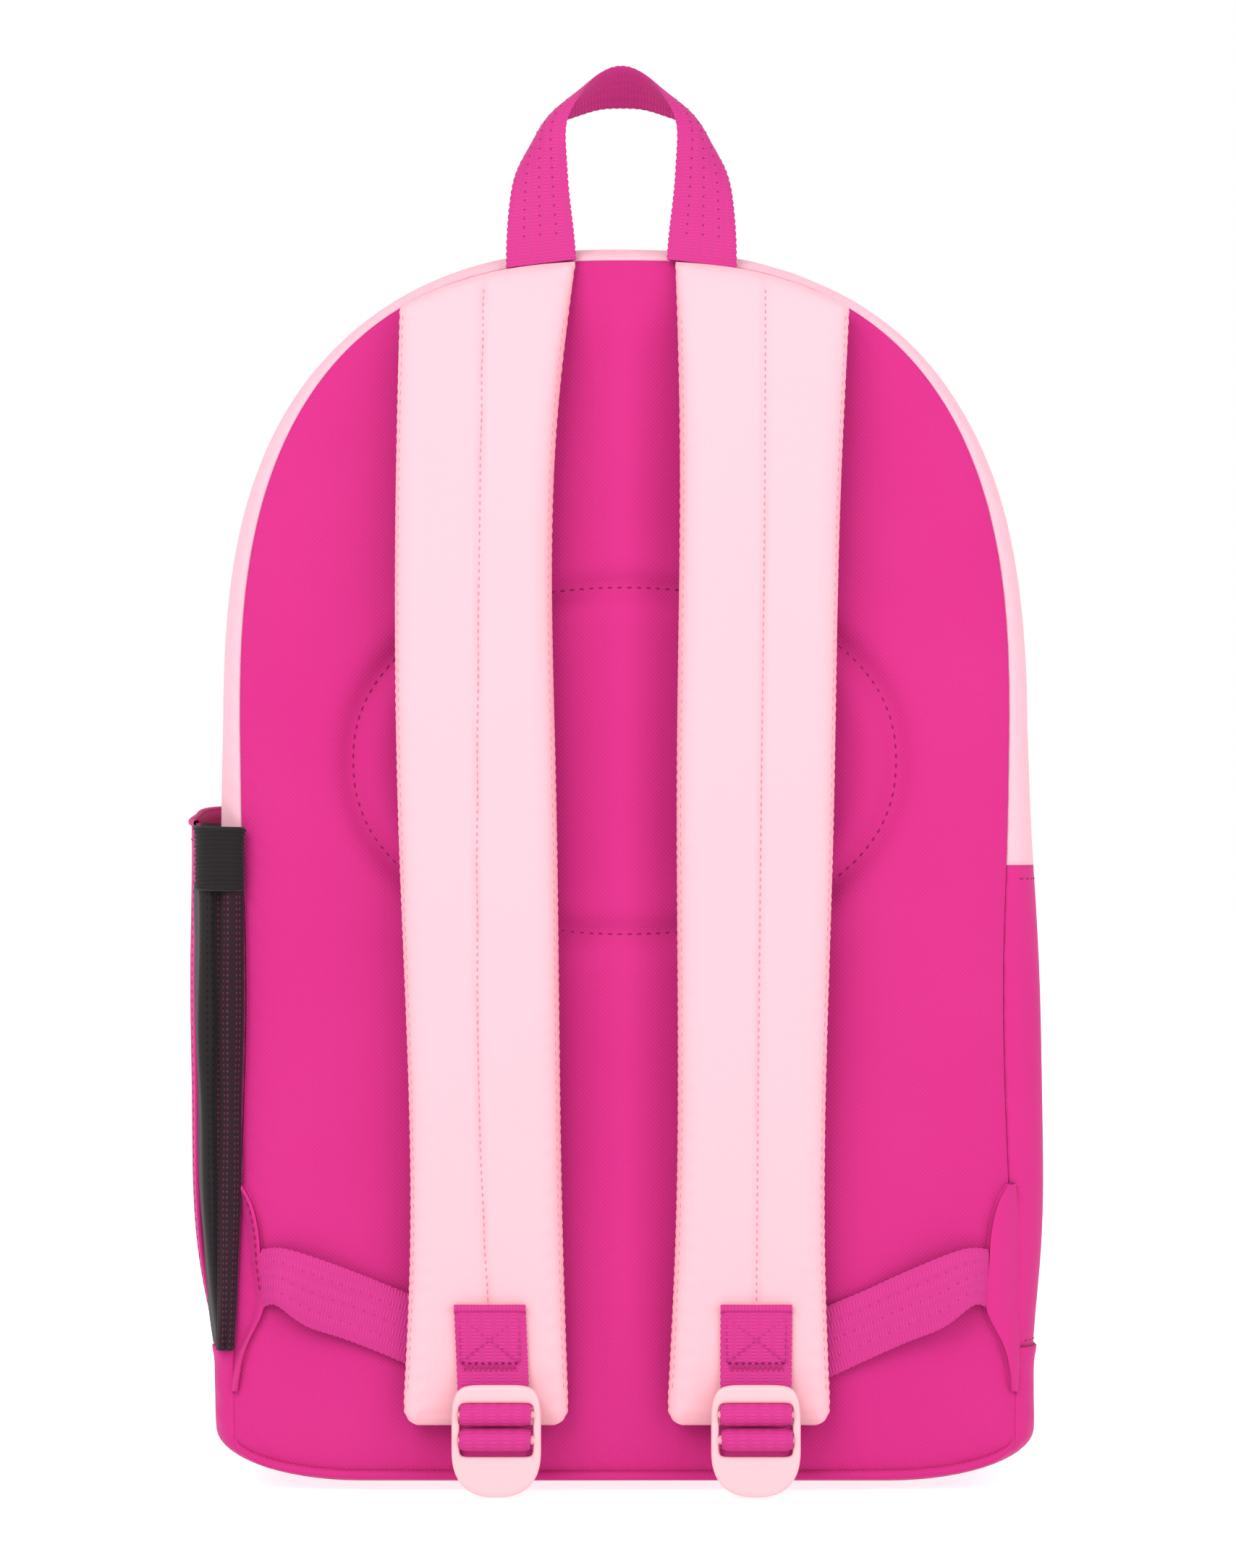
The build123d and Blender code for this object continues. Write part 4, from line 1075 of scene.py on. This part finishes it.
def patch(side, middle, head):
    """Webbing sewn on the strap's face, its end looped round the lock's upper bar."""
    path = [(-90.4, 66.6), (-90.2, 62.5), (-89.7, 52), (-89.6, 45.5), (-90.6, 40), (-91.4, 35)]
    path += round_bar(BAR_Z, 0, -320)
    body = (f"strap_{side}", f"lock_{side}", (middle, -91, 39), (middle, -91, 33))
    strip = flat_strip(f"strap_patch_webbing_{side}", path, middle, WEB_HALF, FIRM_DEPTH,
                       webbing_coat, count=130, drift=(head - middle, 0))
    settle(strip, body, "webbing", f"strap_patch_{side}")
    x = np.linspace(head - WEB_HALF, head + WEB_HALF, 14)
    fold = tube(f"strap_patch_fold_{side}", xyz(x, -90.5, 65.5), 1.35, webbing_coat)
    settle(fold, f"strap_{side}", "webbing")
    reach = WEB_HALF - 2
    corners = [(-reach, 62.6), (reach, 62.6), (reach, 46.5), (-reach, 46.5), (-reach, 62.6),
               (reach, 46.5), (-reach, 46.5), (reach, 62.6)]
    lines = [(xyz(np.linspace(head + xa, head + xb, 20), -90.75, np.linspace(za, zb, 20)),
              facing(20, -1.0)) for (xa, za), (xb, zb) in zip(corners, corners[1:])]
    stitch(f"patch_stitch_{side}", thread_web, lines, f"strap_{side}", "webbing", pitch=2.1,
           thread=0.5)
    x = np.arange(-9, 9.1, 0.9) + head
    lean = xyz(np.where(np.arange(len(x)) % 2, 0.3, -0.3), 0, 1)
    tack = strew(f"patch_bartack_{side}", thread_web, capsule(3.4, 0.5, 0.5, arch=0.3),
                 xyz(x, -90.7, 45 + 0.2 * np.sin(x * 3)), lean, facing(len(x), -1.0))
    settle(tack, f"strap_{side}", "webbing")


def adjuster(side, sign, middle):
    """Webbing round the lock's lower bar, its tail, the run to the bag, and the wing there."""
    path = [(-84, 12.6), (-87.6, 12.9), (-90.4, 14.6), (-91.9, 17.6)]
    path += round_bar(LOWER_BAR_Z, 10, 285)
    path += [(-93.4, 13.4), (-93.0, 10), (-93.1, 6.6)]
    strip = flat_strip(f"adjuster_loop_webbing_{side}", path, middle, WEB_HALF, WEB_DEPTH,
                       webbing_coat, count=130, drift=(0, 0.8 * sign))
    settle(strip, f"lock_{side}", "webbing", f"adjuster_loop_{side}")
    path = [(-77.2, 52), (-77.2, 36), (-77.6, 22), (-80, 14.6), (-84, 12.2), (-87, 12.2)]
    strip = flat_strip(f"adjuster_return_webbing_{side}", path, middle, WEB_HALF, WEB_DEPTH,
                       webbing_coat)
    settle(strip, (f"strap_{side}", f"lock_{side}", (middle, -79, 24), (middle, -85, 12)),
           "webbing")
    top = [(126.9, -76.2, 84.9), (121.5, -79, 85.7), (113.8, -80.6, 84.3), (104, -80.4, 81),
           (93.2, -79, 76.9), (83.4, -77.9, 72.8), (75, -77.4, 69.4), (60, -77.2, 63),
           (42, -77.2, 55)]
    foot = [(126.3, -76, 64.4), (122.6, -79.8, 65.9), (117.5, -82, 63), (111.2, -81.2, 58.6),
            (101.5, -79.8, 55.1), (92, -78.6, 51.6), (80, -77.8, 46.6), (66, -77.4, 40),
            (50, -77.2, 32)]
    drop = 0 if sign < 0 else 1
    lines = [through([(sign * px, py, pz - drop * 2.4 * ease(np.array((126 - px) / 50.0)))
                      for px, py, pz in line], 140) for line in (top, foot)]
    strip = ribbon(f"adjuster_slack_webbing_{side}", lines[1], lines[0], WEB_DEPTH, webbing_coat,
                   scallop=0.14, turned=sign > 0)
    slack = ("bag", f"strap_{side}", (sign * 122, -78, 75), (sign * 52, -77, 50))
    settle(strip, slack, "webbing", f"adjuster_webbing_{side}")
    out = unit(np.cross(lines[0] - lines[1], np.gradient(lines[0], axis=0))) * sign
    dots = [((lines[1] + (lines[0] - lines[1]) * share + out * 0.72)[6:96], out[6:96])
            for share in (0.25, 0.5, 0.75)]
    stitch(f"adjuster_stitch_{side}", thread_web, dots, slack, "webbing", pitch=3.6, thread=0.45,
           fill=0.3)
    edge = [(134.4, -74, 107.4), (130.6, -75.2, 101), (128.7, -76, 94.5), (127.7, -76.6, 88),
            (127, -76.8, 78), (126.2, -76.6, 64.4), (129.6, -76, 56.6), (133, -75.4, 49.5),
            (135.2, -74.6, 40), (136, -74, 35)]
    root = [(136.4, -71.4, 107.8), (138.4, -68.6, 95), (139, -67.6, 80), (139, -67.6, 60),
            (137, -70.6, 34.6)]
    edge, root = (through([(sign * px, py, pz) for px, py, pz in line], 120)
                  for line in (edge, root))
    belly = 1.7 * np.sin(np.linspace(0, pi, 120)) ** 0.7
    wing = ribbon(f"wing_cloth_{side}", root, edge, 1.6, shell_cloth, crown=belly,
                  turned=sign < 0)
    settle(wing, "bag", "magenta_cloth", f"wing_{side}")
    tuck = edge + unit(root - edge) * 0.7 + [0, 1.3, 0]
    under = ribbon(f"wing_underside_{side}", root + [0, 1.2, 0], tuck + [-sign * 1.6, 0.2, 0], 1.2,
                   shell_cloth, crown=0.8, turned=sign < 0)
    settle(under, "bag", "magenta_cloth")
    inset = edge[6:62] + unit(root[6:62] - edge[6:62]) * 1.9 + [0, -1.1, 0]
    stitch(f"wing_stitch_{side}", thread_magenta, [(inset, facing(len(inset), -1.0))], "bag",
           "magenta_cloth", pitch=2.8)


for side, sign in (("left", -1), ("right", 1)):
    low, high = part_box(f"ladder_lock_{side}")
    middle = (low.x + high.x) / 2 / MM
    lock(side, middle)
    patch(side, middle, middle + (-2.4 if sign < 0 else 0.3))
    adjuster(side, sign, middle)

# ---------------------------------------------------------------- grab handle
# left half of each edge, from the foot to the crest; the inner edge ends up near and high
inner_edge = [(-15.8, -74.6, 430.6), (-16.6, -72.6, 440), (-18.3, -71.4, 455), (-19.2, -72, 469),
              (-18.9, -72.8, 479), (-15, -73.2, 487.6), (-9, -73.2, 494.6), (-3.2, -73, 498),
              (0, -72.9, 498.5)]
outer_edge = [(-40.3, -74.6, 427.6), (-40.2, -72.2, 437), (-39.3, -69, 450), (-37, -65.4, 462),
              (-31.2, -61, 472.4), (-24, -56.4, 479.2), (-15, -53.2, 483.2), (-7, -52, 485.6),
              (0, -51.8, 486)]
HANDLE_X = -1.1
bulge = [0, 0, 0.4, 1.4, 3.1, 3.6, 2.9, 1.8, 1.5]


def both_halves(half):
    whole = half + [(-px, py, pz) for px, py, pz in half[-2::-1]]
    return [(px + HANDLE_X, py, pz) for px, py, pz in whole]


near = through(both_halves(outer_edge), 220)
far = through(both_halves(inner_edge), 220)
keys = np.linspace(0, 1, 2 * len(bulge) - 1)
crown = spline(keys, bulge + bulge[-2::-1], np.linspace(0, 1, 220))[:, 0]
handle = ribbon("grab_handle_webbing", near, far, FIRM_DEPTH, webbing_coat, crown=crown,
                scallop=0.22, samples=21)
HANDLE_ROOT = ("bag", "handle", (0, -72, 428), (0, -70, 445))
settle(handle, HANDLE_ROOT, "webbing", "grab_handle")
lines = []
middle_line = (near + far) / 2
out = unit(np.cross(far - near, np.gradient(middle_line, axis=0)))
for share in (0.26, 0.5, 0.74):
    points = near + (far - near) * share + out * (crown * 4 * share * (1 - share) + 0.75)[:, None]
    for piece in (slice(12, 84), slice(-84, -12)):
        lines.append((points[piece], out[piece]))
stitch("handle_stitches", thread_magenta, lines, HANDLE_ROOT, "webbing", pitch=3.2, thread=0.5,
       fill=0.3)


# ---------------------------------------------------------------- floor, light and camera
def ground():
    """Pale floor and its seamless white surroundings."""
    pale, tree, skin = blank("floor_paper")
    feed(tree, skin, {"Base Color": (0.5, 0.5, 0.5, 1), "Roughness": 0.9,
                      "Specular IOR Level": 0.1, "Emission Color": (1, 1, 1, 1),
                      "Emission Strength": 0.8})
    reach = 9000
    floor = make("floor", [(-reach, -reach, 0), (reach, -reach, 0), (reach, reach, 0),
                           (-reach, reach, 0)], [(0, 1, 2, 3)], pale)


def softbox(name, place, aim, size, power):
    light = bpy.data.lights.new(name, "AREA")
    light.shape = "RECTANGLE"
    light.size, light.size_y = size
    light.energy = power
    lamp = bpy.data.objects.new(name, light)
    bpy.context.scene.collection.objects.link(lamp)
    lamp.location = place
    lamp.rotation_euler = (Vector(aim) - Vector(place)).to_track_quat("-Z", "Y").to_euler()


ground()
world = bpy.data.worlds.new("studio")
world.use_nodes = True
feed(world.node_tree, world.node_tree.nodes["Background"],
     {"Color": (1, 1, 1, 1), "Strength": 1.0})
bpy.context.scene.world = world
softbox("key", (-1.1, -1.9, 1.7), (0, 0, 0.25), (1.6, 1.6), 40)
softbox("fill", (1.5, -1.6, 0.9), (0, 0, 0.2), (1.5, 1.5), 17)
bpy.context.scene.view_settings.view_transform = "Standard"

camera = bpy.data.objects.new("camera", bpy.data.cameras.new("camera"))
bpy.context.scene.collection.objects.link(camera)
camera.location = (-0.0023, -2.072, 0.2474)
camera.rotation_euler = (pi / 2, 0, 0)
camera.data.lens = 131.2
camera.data.sensor_width = 36
bpy.context.scene.camera = camera
